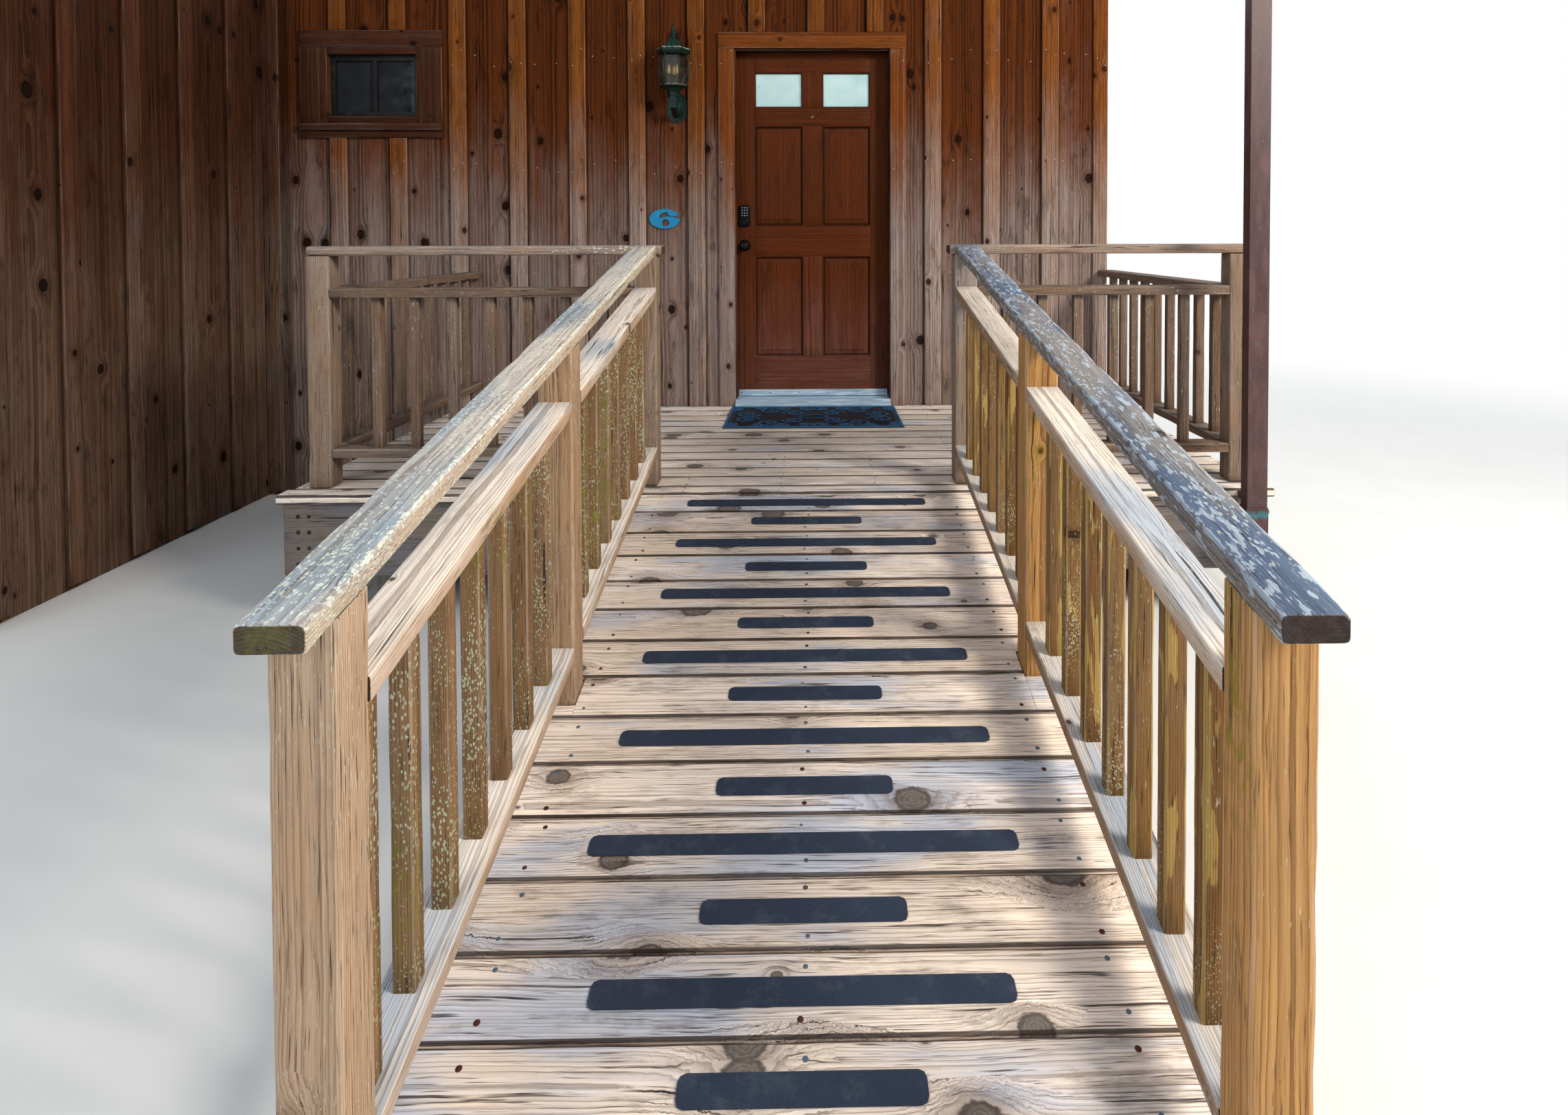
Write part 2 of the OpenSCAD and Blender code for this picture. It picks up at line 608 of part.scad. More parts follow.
// Stepped wall plate, arm and flared six-sided base that carry the lantern.
module plate_outline(w, h) polygon([
  [-w * 0.16, 0], [w * 0.16, 0], [w * 0.36, h * 0.08], [w * 0.42, h * 0.16], [w / 2, h * 0.2],
  [w / 2, h * 0.8], [w * 0.43, h * 0.86], [w * 0.36, h * 0.94], [w * 0.16, h], [-w * 0.16, h],
  [-w * 0.36, h * 0.94], [-w * 0.43, h * 0.86], [-w / 2, h * 0.8], [-w / 2, h * 0.2],
  [-w * 0.42, h * 0.16], [-w * 0.36, h * 0.08]]);
module lantern_bracket() color("darkgreen") {
  translate([lantern_x, wall_y, lamp_plate_z]) rotate([90, 0, 0]) {
    linear_extrude(9) plate_outline(112, 164);
    translate([0, 9, 0]) linear_extrude(16) plate_outline(90, 146);
    translate([0, 14, 0]) linear_extrude(26) plate_outline(48, 72);
  }
  profile(lantern_x - 16, 32)
    polygon([[wall_y - 20, lamp_plate_z + 22], [wall_y - 70, lamp_plate_z + 34],
             [lamp_y - 16, lamp_plate_z + 66], [lamp_y - 20, lamp_z + 2], [lamp_y + 20, lamp_z + 2],
             [lamp_y + 22, lamp_plate_z + 84], [wall_y - 60, lamp_plate_z + 66],
             [wall_y - 20, lamp_plate_z + 62]]);
  translate([lantern_x, lamp_y, lamp_z]) rotate_extrude($fn = 6)
    polygon([[0, 0], [31, 0], [31, 6], [34, 20], [43, 34], [56, 44], [70, 49], [84, 51], [84, 59],
             [0, 59]]);
}

// Six bowed corner bars, the brim, and the ribbed bell of a roof with its finial.
module lantern_cage() color("darkgreen") translate([lantern_x, lamp_y, lamp_z + 59]) {
  for (a = [0 : 60 : 300]) rotate([0, 0, a]) rotate([90, 0, 0]) translate([0, 0, -3.5]) linear_extrude(7)
    polygon([[66, 0], [74, 0], [86, 40], [92, 88], [86, 136], [76, 180], [66, 180], [78, 136],
             [84, 88], [78, 40]]);
  rotate_extrude($fn = 6)
    polygon([[0, 176], [90, 176], [97, 184], [97, 202], [91, 209], [56, 213], [0, 213]]);
  rotate_extrude()
    polygon([[0, 212], [54, 212], [51, 220], [46, 234], [38, 249], [27, 260], [19, 266], [21, 272],
             [17, 280], [20, 288], [15, 296], [17, 302], [9, 310], [11, 318], [6, 328], [8, 336],
             [3, 346], [0, 354]]);
  for (a = [0 : 30 : 330]) rotate([0, 0, a]) rotate([90, 0, 0]) translate([0, 0, -2]) linear_extrude(4)
    polygon([[14, 213], [60, 213], [55, 222], [50, 236], [41, 252], [30, 263], [14, 266]]);
}

// Bevelled glass between the bars, as one closed shell.
module lantern_glass() color("lightcyan") translate([lantern_x, lamp_y, lamp_z + 59]) difference() {
  union() {
    cylinder(r1 = 65.5, r2 = 79, h = 62, $fn = 6);
    translate([0, 0, 62]) cylinder(r = 79, h = 56, $fn = 6);
    translate([0, 0, 118]) cylinder(r1 = 79, r2 = 66, h = 58, $fn = 6);
  }
  translate([0, 0, 4]) cylinder(r1 = 61.5, r2 = 74, h = 58, $fn = 6);
  translate([0, 0, 61.9]) cylinder(r = 74, h = 56.2, $fn = 6);
  translate([0, 0, 118]) cylinder(r1 = 74, r2 = 61, h = 58.1, $fn = 6);
}

// A wide, plain figure: the outline, less its counter, and less a hollow that leaves the bowl and the ball.
function oval(x, z, a, b) = [for (i = [0 : 47]) [x + a * cos(i * 7.5), z + b * sin(i * 7.5)]];
module house_number() color("steelblue")
  translate([number_x, wall_y, deck_height + number_up]) rotate([90, 0, 0]) linear_extrude(number_t)
    difference() {
      polygon(oval(0, 0, number_w / 2, number_h / 2));
      polygon(oval(4, -23, 22, 20));
      difference() {
        union() {
          polygon(oval(16, 14, 46, 24));
          translate([34, 0]) square([number_w / 2 - 30, 22]);
        }
        polygon(oval(22, -22, 66, 35));
        polygon(oval(50, 31, 32, 17));
      }
    }

module door_mat() color("darkslategray")
  translate([door_x - mat_w / 2, wall_y - sill_nose - mat_gap - mat_d, deck_height])
    cube([mat_w, mat_d, mat_t]);

// Square rainwater pipe: a wider lower length with a rim, the upper length and the brackets behind it.
module rainwater_pipe() color("rosybrown") translate([pipe_x, pipe_y, 0]) {
  difference() {
    translate([-pipe_w / 2 - 3, -pipe_d / 2 - 3, pipe_z]) cube([pipe_w + 6, pipe_d + 6, slip_z - pipe_z]);
    translate([-pipe_w / 2, -pipe_d / 2, pipe_z - 1]) cube([pipe_w, pipe_d, slip_z - pipe_z + 2]);
  }
  difference() {
    translate([-pipe_w / 2, -pipe_d / 2, slip_z - 60])
      cube([pipe_w, pipe_d, wall_z1 + plate_t - slip_z + 60]);
    translate([-pipe_w / 2 + 3, -pipe_d / 2 + 3, slip_z - 61])
      cube([pipe_w - 6, pipe_d - 6, wall_z1 + plate_t - slip_z + 62]);
  }
  for (z = [slip_z - 190, slip_z - 20])
    translate([-pipe_w / 2 - 5, -pipe_d / 2 - 5, z]) difference() {
      cube([pipe_w + 10, pipe_d + 10, 12]);
      translate([3, 3, -1]) cube([pipe_w + 4, pipe_d + 4, 14]);
    }
  translate([-16, pipe_d / 2 + 3, slip_z - 180]) cube([32, fascia_y - pipe_y - pipe_d / 2 - 3, 26]);
  translate([-16, pipe_d / 2, deck_under + 6]) cube([32, deck_y - pipe_y - pipe_d / 2, board_t - 12]);
}

ramp_planks();
ramp_grip_strips();
ramp_stringers();
ramp_sleepers();
ramp_left_posts();
ramp_right_posts();
ramp_left_handrail();
ramp_right_handrail();
ramp_left_balusters();
ramp_right_balusters();
deck_boards();
deck_edge_trim();
deck_fascia();
deck_joists();
deck_beam();
deck_piers();
guard_left_posts();
guard_right_posts();
guard_left_handrail();
guard_right_handrail();
guard_left_balusters();
guard_right_balusters();
left_side_guard();
right_side_guard();
front_wall_base();
front_wall_left();
front_wall_right();
front_wall_over_door();
wing_wall();
wall_battens();
wall_top_plates();
door_casing();
door_jamb();
door_threshold();
door_leaf();
door_panels();
door_glass();
door_knobs();
door_keypad();
door_peephole();
door_hinges();
hinge_plates();
door_sweep();
window_casing();
window_sash();
window_glass();
lantern_bracket();
lantern_cage();
lantern_glass();
house_number();
door_mat();
rainwater_pipe();
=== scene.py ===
# Entrance of a board-and-batten timber cabin, with an access ramp and a small deck.
import bpy, bmesh, math, random
from mathutils import Matrix, Vector, noise


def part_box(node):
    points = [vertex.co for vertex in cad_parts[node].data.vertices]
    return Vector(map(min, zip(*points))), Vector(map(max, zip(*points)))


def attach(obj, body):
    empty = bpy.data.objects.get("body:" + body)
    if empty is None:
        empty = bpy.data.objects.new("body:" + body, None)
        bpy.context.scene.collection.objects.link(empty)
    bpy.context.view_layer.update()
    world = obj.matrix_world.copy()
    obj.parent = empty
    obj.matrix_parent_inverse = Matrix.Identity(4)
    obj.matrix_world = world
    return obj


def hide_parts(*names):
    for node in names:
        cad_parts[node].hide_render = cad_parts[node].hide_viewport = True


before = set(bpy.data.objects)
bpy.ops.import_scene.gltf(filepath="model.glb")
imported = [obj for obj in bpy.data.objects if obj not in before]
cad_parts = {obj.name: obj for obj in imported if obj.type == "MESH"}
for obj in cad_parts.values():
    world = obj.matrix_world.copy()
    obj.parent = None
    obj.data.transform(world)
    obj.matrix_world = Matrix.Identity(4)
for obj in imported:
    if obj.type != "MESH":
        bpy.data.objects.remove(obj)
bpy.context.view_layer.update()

# The camera stands at eye height over the ramp's toe and looks up the ramp at the door. Its shift keeps the
# verticals nearly plumb, as they are in the photo.
scene = bpy.context.scene
scene.view_settings.view_transform = "Standard"
camera = bpy.data.objects.new("camera", bpy.data.cameras.new("camera"))
scene.collection.objects.link(camera)
scene.camera = camera
camera.data.sensor_width = 36.0
camera.data.lens = 20.2
camera.data.shift_x, camera.data.shift_y = -0.0264, -0.1916
camera.location = (0.016, -1.166, 1.492)
camera.rotation_euler = (math.radians(88.6), math.radians(0.15), math.radians(-1.0))
camera.data.clip_start, camera.data.clip_end = 0.05, 200

# Pale floor with a white backdrop, which keeps the shadow, under a plain soft studio light: a warm key from the
# right, a wide cool fill from the left and a lamp behind the wall.
floor_mesh = bpy.data.meshes.new("floor")
floor_half = 30
floor_mesh.from_pydata([(x * floor_half, y * floor_half, 0) for x, y in ((-1, -1), (1, -1), (1, 1), (-1, 1))],
                       [], [(0, 1, 2, 3)])
floor = bpy.data.objects.new("floor", floor_mesh)
scene.collection.objects.link(floor)


# A finish is a tree of nodes. A wire is one value in such a tree: sums on wires add the nodes that work them
# out, and a wire's other words stretch it, spread it over a range, read a noise at it or mix two colours by it.
def sum_of(kind, swapped=False):
    def work(self, other):
        return self.recipe.add("Math", *((other, self) if swapped else (self, other)), operation=kind)
    return work


class Wire:
    __add__, __radd__ = sum_of("ADD"), sum_of("ADD", True)
    __sub__, __rsub__ = sum_of("SUBTRACT"), sum_of("SUBTRACT", True)
    __mul__, __truediv__, __pow__ = sum_of("MULTIPLY"), sum_of("DIVIDE"), sum_of("POWER")

    def __init__(self, recipe, socket):
        self.recipe, self.socket = recipe, socket

    def math(self, kind, *others):
        return self.recipe.add("Math", self, *others, operation=kind)

    def twin(self, name):
        return Wire(self.recipe, self.socket.node.outputs[name])

    def axis(self, number):
        return self.recipe.add("SeparateXYZ", self, out=number)

    def stretch(self, *scale):
        return self.recipe.add("VectorMath", self, scale, operation="MULTIPLY")

    def noise(self, scale, detail=2.0, rough=0.5):
        return self.recipe.add("TexNoise", Vector=self, Scale=scale, Detail=detail, Roughness=rough)

    def cloud(self, along, across, detail=2.0, rough=0.6):
        return self.stretch(along, across, across).noise(1.0, detail, rough)

    def level(self, low, high, least=0.0, most=1.0):
        return self.recipe.add("MapRange", self, low, high, least, most)

    def reach(self, low, high, least=0.0, most=1.0):
        return self.recipe.add("MapRange", self, low, high, least, most, interpolation_type="SMOOTHSTEP")

    def mix(self, one, other):
        return self.recipe.add("MixRGB", self, one, other)


# A recipe holds one finish's tree. What it adds takes plain values and wires in the order of the node's inputs, or
# by their names. Words in small letters set the node's own settings.
class Recipe:
    def __init__(self, name, owner=None):
        self.owner = owner or bpy.data.materials.new(name)
        self.owner.use_nodes = True
        self.tree = self.owner.node_tree
        self.tree.nodes.clear()

    def add(self, kind, *ins, out=0, **settings):
        made = self.tree.nodes.new("ShaderNode" + kind)
        for word in [w for w in settings if w[0].islower()]:
            setattr(made, word, settings.pop(word))
        for key, value in list(enumerate(ins)) + [(w.replace("_", " "), v) for w, v in settings.items()]:
            if isinstance(value, Wire):
                self.tree.links.new(value.socket, made.inputs[key])
            elif value is not None:
                made.inputs[key].default_value = value[:3] if made.inputs[key].type == "VECTOR" else value
        return Wire(self, made.outputs[out]) if made.outputs else made

    def spot(self):
        return self.add("TexCoord", out=3)

    def dress(self, colour, rough, height=None, bump=0.3, depth=0.0006, **more):
        normal = self.add("Bump", bump, depth, Height=height) if height else None
        shade = self.add("BsdfPrincipled", Base_Color=colour, Roughness=rough, Normal=normal, **more)
        self.add("OutputMaterial", shade)
        return self.owner


def tone(red, green, blue):
    return tuple((c / 12.92 if c <= 0.04045 else ((c + 0.055) / 1.055) ** 2.4) for c in (red, green, blue)) + (1,)


paper = Recipe("floor paper")
spot = paper.spot()
shade = paper.add("BsdfPrincipled", Roughness=0.9,
                  Base_Color=spot.noise(3.0, 4.0).mix(tone(.86, .86, .85), tone(.9, .9, .89)))
from_middle = paper.add("VectorMath", spot, (0.0, 2.5, 0.0), operation="SUBTRACT")
far_off = paper.add("VectorMath", from_middle, out=1, operation="LENGTH").reach(3.6, 9.0)
paper.add("OutputMaterial", paper.add("MixShader", far_off * paper.add("LightPath"), shade,
                                      paper.add("Emission", (1, 1, 1, 1), 1.0)))
floor_mesh.materials.append(paper.owner)
sky = Recipe("studio", bpy.data.worlds.new("studio"))
scene.world = sky.owner
camera_ray = sky.add("LightPath")
sky.add("OutputWorld", sky.add("MixShader", camera_ray.math("MAXIMUM", camera_ray.twin("Is Transmission Ray")),
                               sky.add("Background", (0.82, 0.9, 1.0, 1), 0.55),
                               sky.add("Background", (1, 1, 1, 1), 1.0)))
for name, spot, watts, size, aim, colour in (
        ("key", (5.0, -1.4, 4.7), 560, 1.8, (0, 1.8, 0.6), (1.0, 0.93, 0.82)),
        ("fill", (-4.5, -3.5, 3.6), 150, 4.0, (0, 2.0, 0.8), (0.85, 0.92, 1.0)),
        ("back", (1.5, 9.0, 5.5), 260, 4.0, (0, 3.0, 1.0), (1.0, 1.0, 1.0))):
    lamp = bpy.data.objects.new(name, bpy.data.lights.new(name, "AREA"))
    scene.collection.objects.link(lamp)
    lamp.data.energy, lamp.data.size, lamp.data.color = watts, size, colour
    lamp.location = spot
    lamp.rotation_euler = (Vector(aim) - lamp.location).to_track_quat("-Z", "Y").to_euler()

# Ramp planks: two-by-sixes nailed across the stringers, notched round the posts, the last one ripped narrow.
# The ramp's main sizes stand here, in metres: its slope follows from the planks' count and the deck's height.
thick, post, deck_top = 0.038, 0.089, 0.500
plank_count, plank_w, plank_gap, top_cut, plank_back = 17, 0.150, 0.0035, 0.026, 0.008
plank_pitch = plank_w + plank_gap
toe_y, toe_z, foot_in = -0.324, thick + 0.0085, 0.279
slope = math.asin((deck_top - 0.008 - toe_z) / (plank_count * plank_pitch - top_cut))
deck_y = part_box("deck_edge_trim")[0][1]
rail_x = -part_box("ramp_left_posts")[1][0]
foot_y, head_y = toe_y + foot_in, deck_y + 0.095
mid_y = {-1: (foot_y + head_y) / 2 - 0.057, 1: (foot_y + head_y) / 2 + 0.035}


def darker(colour, *parts):
    return tuple(c * part for c, part in zip(colour, parts)) + (1,)


def between(one, other, part):
    return tuple(a + (b - a) * part for a, b in zip(one[:3], other[:3])) + (1,)


# Timber. A board carries its own grain: where a point lies along, across and through the log it was sawn from,
# with a mark for its edges and its sawn ends. Rings, knots, fibres, splits, fading, lichen and moss are read
# from that. Early and late are the two tones of a year's ring, grey is what the weather turns them into.
def timber(name, early, late, grey, weather=0.5, ring=0.005, knots=0.4, knot_size=0.019, lichen=0.0, moss=0.0,
           dirt=0.3, checks=0.5, gloss=0.85, relief=1.0, run="board", pale=(.80, .84, .70), fleck=1.0,
           mossy=(.42, .42, .10), specks=0.0, bare=0.0, bare_tone=(.70, .58, .30), fade_and_eave_shade=None, cool=0.25,
           cool_tone=(.44, .49, .54), top=0.25, streaks=0.3, end=(.24, .18, .13), end_moss=0.0, worn=0.3,
           hair=0.5, gap_dirt_and_shade=0.0, core=None, shine=0.22, bare_size=1.0, late_share=3.0):
    early, late, grey, pale, mossy, bare_tone, cool_tone, end, core = (
        tone(*c) for c in (early, late, grey, pale, mossy, bare_tone, cool_tone, end, core or late))
    recipe = Recipe(name)
    add, spot = recipe.add, recipe.spot()

    def mark(word, out=2):
        return add("Attribute", out=out, attribute_name=word, attribute_type="GEOMETRY")

    def chance_of(row):
        return add("TexWhiteNoise", None, row, noise_dimensions="1D")

    x, y, z = (spot.axis(i) for i in range(3))
    if run == "board":
        grain, chance = mark("grain", 1), mark("board")
        rim, groove, tip = mark("rim"), mark("groove"), mark("tip")
    elif run == "wall":
        row = ((x + wall_joint) / wall_pitch).math("FLOOR")
        chance, heart = chance_of(row), chance_of(row + 7.3)
        from_middle = x - (row * wall_pitch - wall_middle)
        outside = y.reach(wall_y + 0.012, wall_y + 0.006)
        corner = from_middle.math("ABSOLUTE").reach(0.100, 0.122) * outside
        grain = add("CombineXYZ", z + chance * 40.0, from_middle - (heart - 0.5) * 0.22,
                    y - wall_y + (0.03 + heart * 0.06))
    elif run == "wing":
        past_joint = y - (wall_y - wing_joint)
        row = (past_joint / wing_pitch).math("FLOOR")
        chance = chance_of(row)
        grain = add("CombineXYZ", z + chance * 40.0, y - (wall_y - 0.1 + row * wing_pitch), x - wing_x + 0.05)
        beside = past_joint - row * wing_pitch
        outside = x.reach(wing_x - 0.012, wing_x - 0.006)
        corner = beside.reach(0.024, 0.0).math("MAXIMUM", beside.reach(0.283, 0.306)) * outside
    else:
        length, width = (x, y) if run == "x" else (y, x)
        chance = chance_of((width * 4.0).math("FLOOR"))
        grain = add("CombineXYZ", length, width + 0.011, z + 0.04)
    along, across, through = (grain.axis(i) for i in range(3))
    cloud = grain.cloud

    # knots: one spot to a stretch of board, most of them left out, each with its own size and a ragged outline
    knots_long, knots_wide = 2.6, 9.0
    where = add("CombineXYZ", along * knots_long, (across + chance * 3.1) * knots_wide, 0.0)
    cell = add("TexVoronoi", where, Scale=1.0, Randomness=0.9, voronoi_dimensions="2D")
    lead = add("VectorMath", where, cell.twin("Position"), operation="SUBTRACT")
    lead_x, lead_y = lead.axis(0) / (knots_long * 1.3), lead.axis(1) / knots_wide
    bulk = (cell.twin("Color").axis(0).level(1.0 - knots, 1.0) ** 1.2 * knot_size).math("MAXIMUM", 0.0001)
    ragged = cloud(70.0, 90.0, 3.0)
    near = (lead_x ** 2.0 + lead_y ** 2.0).math("SQRT") / bulk * (0.72 + ragged * 0.56)
    around = (near ** 2.0 * -0.15).math("EXPONENT")
    inside, halo = near.reach(1.15, 0.9), near.reach(3.2, 1.0)

    # the grain swings past each knot on both sides and wanders slowly along the board
    wander = (cloud(1.1, 6.0) - 0.5) * 0.036 + cloud(9.0, 22.0) * 0.0050
    bent = across + wander - lead_y * around * 0.92
    thread = add("CombineXYZ", along, bent, through).cloud

    # rings round the heart of the log, close and wide years in turn
    radius = (bent ** 2.0 + through ** 2.0).math("SQRT") + around * (bulk * 0.8)
    uneven = add("TexNoise", None, radius * 70.0, Scale=1.0, Detail=1.0, noise_dimensions="1D")
    turn = (radius / ring + uneven * 1.4).math("FRACT")
    band = turn ** late_share * turn.reach(1.0, 0.94)
    fibre = thread(7.0, 300.0, 3.0, 0.65).level(0.32, 0.68)
    coarse = thread(1.9, 52.0, 4.0, 0.66).level(0.32, 0.68)
    hairline = thread(8.0, 300.0).reach(0.58, 0.70)
    blotch, broad = cloud(2.6, 8.0, 4.0), cloud(1.3, 3.5)
    check = thread(2.4, 100.0, 2.0, 0.5).reach(0.70 - 0.06 * checks, 0.74 - 0.06 * checks) * blotch.reach(0.40, 0.56)

    # the wood itself, then what the weather has faded, most of all on top and where the board is old
    colour = (band * (0.55 + coarse * 0.45)).mix(early, late)
    faded = (band * 0.8).mix(grey, between(grey, late, 0.8))
    upward = add("NewGeometry", out=1).axis(2).reach(-0.1, 0.9)
    chill = (broad + (coarse - 0.5) * 0.12).reach(0.62 - 0.3 * cool, 0.80 - 0.3 * cool) * min(1.0, cool * 2.2)
    faded = (chill * (0.35 + upward * 0.65)).mix(faded, (band * 0.8).mix(cool_tone, between(cool_tone, late, 0.7)))
    wash = weather - 0.70 + upward * top + (blotch * 0.85 + chance * 0.26)
    light = 0.62 - 0.12 * streaks + fibre * 0.30 + (coarse * (0.16 + 0.40 * streaks) + chance * 0.22)
    if fade_and_eave_shade:
        low, high, swing, painted_eave_shade = fade_and_eave_shade
        shift = z.reach(low, high, swing, -swing)
        if run in ("wall", "wing"):
            # indoors the boards are evenly and little faded
            shift = outside.mix((-0.2, -0.2, -0.2, 1), shift)
        # the last of the four values darkens the colour towards the top: painted shade of the eaves
        wash, light = wash + shift, light * z.reach(low, high, 1.0, painted_eave_shade)
    colour = wash.reach(-0.08, 0.78).mix(colour, faded)
    colour = add("VectorMath", colour, add("CombineXYZ", light, light, light), operation="MULTIPLY")
    colour = (hairline * hair).mix(colour, darker(late, 0.36, 0.36, 0.38))
    colour = (halo * 0.45 * (0.4 + coarse)).mix(colour, late)
    rings = (near * 3.4 + ragged * 1.6).math("FRACT")
    colour = (inside * 0.92).mix(colour, rings.mix(darker(core, 0.78, 0.76, 0.74), darker(core, 0.34, 0.32, 0.31)))
    colour = (near.reach(0.80, 1.0) * near.reach(1.25, 1.02) * 0.75).mix(colour, darker(core, 0.25, 0.23, 0.22))
    soil = cloud(4.0, 14.0, 5.0, 0.75).reach(0.53, 0.70)
    colour = (soil * dirt).mix(colour, darker(late, 0.45, 0.44, 0.45))
    if run in ("wall", "wing"):
        # dirt and shade gather in the corners beside the battens
        colour = (corner * (0.35 + coarse * 0.45)).mix(colour, darker(late, 0.35, 0.33, 0.32))
    colour = (check * 0.88).mix(colour, darker(late, 0.16, 0.15, 0.15))
    height = fibre * 0.30 + band * 0.5 - check * 1.7 - hairline * 0.4 + inside * 0.3
    if run == "board":
        # edges rubbed pale by weather and hands, darkened by dirt and painted shade in the gaps between boards,
        # and by painted shade in the door's grooves
        rub = rim * coarse.reach(0.2, 0.8) * worn
        colour = rub.mix(colour, between(early, (0.95, 0.9, 0.82), 0.35))
        gap_and_groove_shade = (rim.reach(0.1, 0.75) * (0.8 + coarse * 0.2) * gap_dirt_and_shade).math("MAXIMUM", groove * 0.78)
        colour = gap_and_groove_shade.mix(colour, darker(late, 0.15, 0.13, 0.12))
    if bare:
        # places where the stain has come away, with sharp wavy outlines
        flaking = cloud(4.5 / bare_size ** 2.2, 34.0 / bare_size, 3.0, 0.55) + rim * 0.13
        open_wood = flaking.reach(0.66 - 0.2 * bare, 0.685 - 0.2 * bare)
        colour = (open_wood * 0.8).mix(colour, (band * 0.5).mix(bare_tone, late))
    if specks:
        # small pale splinters and scales along the grain
        chips = cloud(48.0, 330.0, 1.0, 0.4).reach(0.72 - 0.06 * specks, 0.77 - 0.06 * specks)
        chips = chips * blotch.reach(0.40, 0.56)
        colour = (chips * 0.7).mix(colour, between(pale, (0.50, 0.44, 0.38), 0.6))
        height = height + chips * 0.3
    if lichen:
        # crusts of lichen: flecks that crowd together in some stretches and are few in others
        patch = add("TexVoronoi", grain.stretch(90.0 / fleck, 170.0 / fleck, 170.0 / fleck), Scale=1.0)
        size, tint = (patch.twin("Color").axis(i) for i in (1, 2))
        field = cloud(2.2, 7.0).reach(0.60 - 0.34 * lichen, 0.92 - 0.34 * lichen)
        edge = patch + (cloud(160.0 / fleck, 260.0 / fleck, 3.0) - 0.5) * 0.8
        spots = (size * field * 0.60 - edge).reach(-0.02, 0.04)
        colour = (spots * 0.72).mix(colour, tint.mix(pale, between(pale, (0.55, 0.6, 0.5), 0.4)))
        height = height + spots * 0.4
    if moss:
        damp = cloud(1.7, 5.0, 1.0).reach(0.66 - 0.3 * moss, 0.82 - 0.3 * moss)
        growth = cloud(30.0, 75.0, 4.0, 0.7).reach(0.46, 0.62) * damp
        colour = (growth * 0.75).mix(colour, mossy)
        height = height + growth * 0.7
    if run == "board":
        # sawn ends, darker, with the rings showing
        cut = (band * 0.75).mix(end, darker(end, 0.35, 0.33, 0.32))
        if end_moss:
            cut = (cloud(20.0, 34.0, 4.0, 0.7).reach(0.42, 0.6) * end_moss).mix(cut, mossy)
        colour = (tip.reach(0.35, 0.9) * 0.95).mix(colour, cut)
    return recipe.dress(colour, gloss, height, 0.75, 0.0013 * relief, Specular_IOR_Level=shine)


# Joins rings of points into a skin, each ring to the next, with a face over its first and its last ring.
def skin(mesh, rings, flip=False, foot=True, lid=True):
    for a, b in zip(rings, rings[1:]):
        for j in range(len(a)):
            k = (j + 1) % len(a)
            quad = (a[j], a[k], b[k], b[j])
            mesh.faces.new(quad[::-1] if flip else quad)
    if foot:
        mesh.faces.new(rings[0][::-1])
    if lid:
        mesh.faces.new(rings[-1][::-1] if flip else rings[-1])


# One sawn board, as rings of points along its length: eased and worn corners, slightly uneven faces, and
# ends that may be cut plumb. Its place is the middle of its first end, with its length, width and depth axes.
def board(mesh, long, wide, deep, place, seed, ease=0.003, wear=1.0, uneven=0.0006, plumb=0.0, part=(0, 0),
          ends=(1, 1), square_foot=False):
    luck = random.Random(seed)
    layers = mesh.verts.layers
    grain, chance, rim, tip = layers.float_vector["grain"], *(layers.float[w] for w in ("board", "rim", "tip"))
    heart = Vector((luck.uniform(1, 60), luck.uniform(-0.35, 0.35) * max(wide, 0.06),
                    luck.choice((-1, 1)) * (deep / 2 + luck.uniform(0.004, 0.05))))
    mark, bit = luck.random(), luck.uniform(0, 50)
    across, through = wide / 2, deep / 2
    support = 2.2 * ease
    outline = []
    for turn, (sy, sz) in enumerate(((1, 1), (-1, 1), (-1, -1), (1, -1))):
        for a in (0, 45, 90):
            lean = math.radians(turn * 90 + a)
            outline.append((sy * (across - ease) + ease * math.cos(lean),
                            sz * (through - ease) + ease * math.sin(lean), sy, sz, turn + 1))
        if turn % 2 == 0:
            n = max(1, round(wide / 0.04))
            outline += [(sy * (across - support) * (1 - 2 * i / n), sz * through, 0, sz, 0) for i in range(n + 1)]
        else:
            n = max(1, round(deep / 0.05))
            outline += [(sy * across, sz * (through - support) * (1 - 2 * i / n), sy, 0, 0) for i in range(n + 1)]
    steps = max(2, round(long / 0.075))
    stations = [(0.0, ease * 0.7 * ends[0]), (ease * 0.9, 0.0)]
    stations += [(long * i / steps, 0.0) for i in range(1, steps)]
    stations += [(long - ease * 0.9, 0.0), (long, ease * 0.7 * ends[1])]
    rings = []
    for n, (x, inset) in enumerate(stations):
        ring = []
        for y, z, sy, sz, corner in outline:
            if corner:
                worn = ease * wear * (0.15 + 1.5 * max(0.0, noise.noise((x * 8 + bit, corner * 7.0, 3.0))))
                worn += uneven * 0.5
            else:
                worn = uneven * (0.5 + 0.9 * noise.noise((x * 5 + bit, y * 22, z * 22 + 5)))
            py = y * (1 - inset / across) - sy * max(0.0, worn)
            pz = z * (1 - inset / through) - sz * max(0.0, worn)
            vert = mesh.verts.new(place @ Vector((x + pz * plumb * (x / long if square_foot else 1.0), py, pz)))
            vert[grain] = Vector((x + part[0], py + part[1], pz)) + Vector((heart.x, -heart.y, -heart.z))
            vert[chance], vert[rim] = mark, float(corner > 0)
            vert[tip] = float((n == 0 and ends[0]) or (n == len(stations) - 1 and ends[1]))
            ring.append(vert)
        rings.append(ring)
    skin(mesh, rings)


def lay(at, along, up):
    along, up = Vector(along).normalized(), Vector(up).normalized()
    return Matrix.Translation(at) @ Matrix((along, up.cross(along), up)).transposed().to_4x4()


def new_boards():
    mesh = bmesh.new()
    mesh.verts.layers.float_vector.new("grain")
    for word in ("board", "rim", "tip", "groove"):
        mesh.verts.layers.float.new(word)
    return mesh


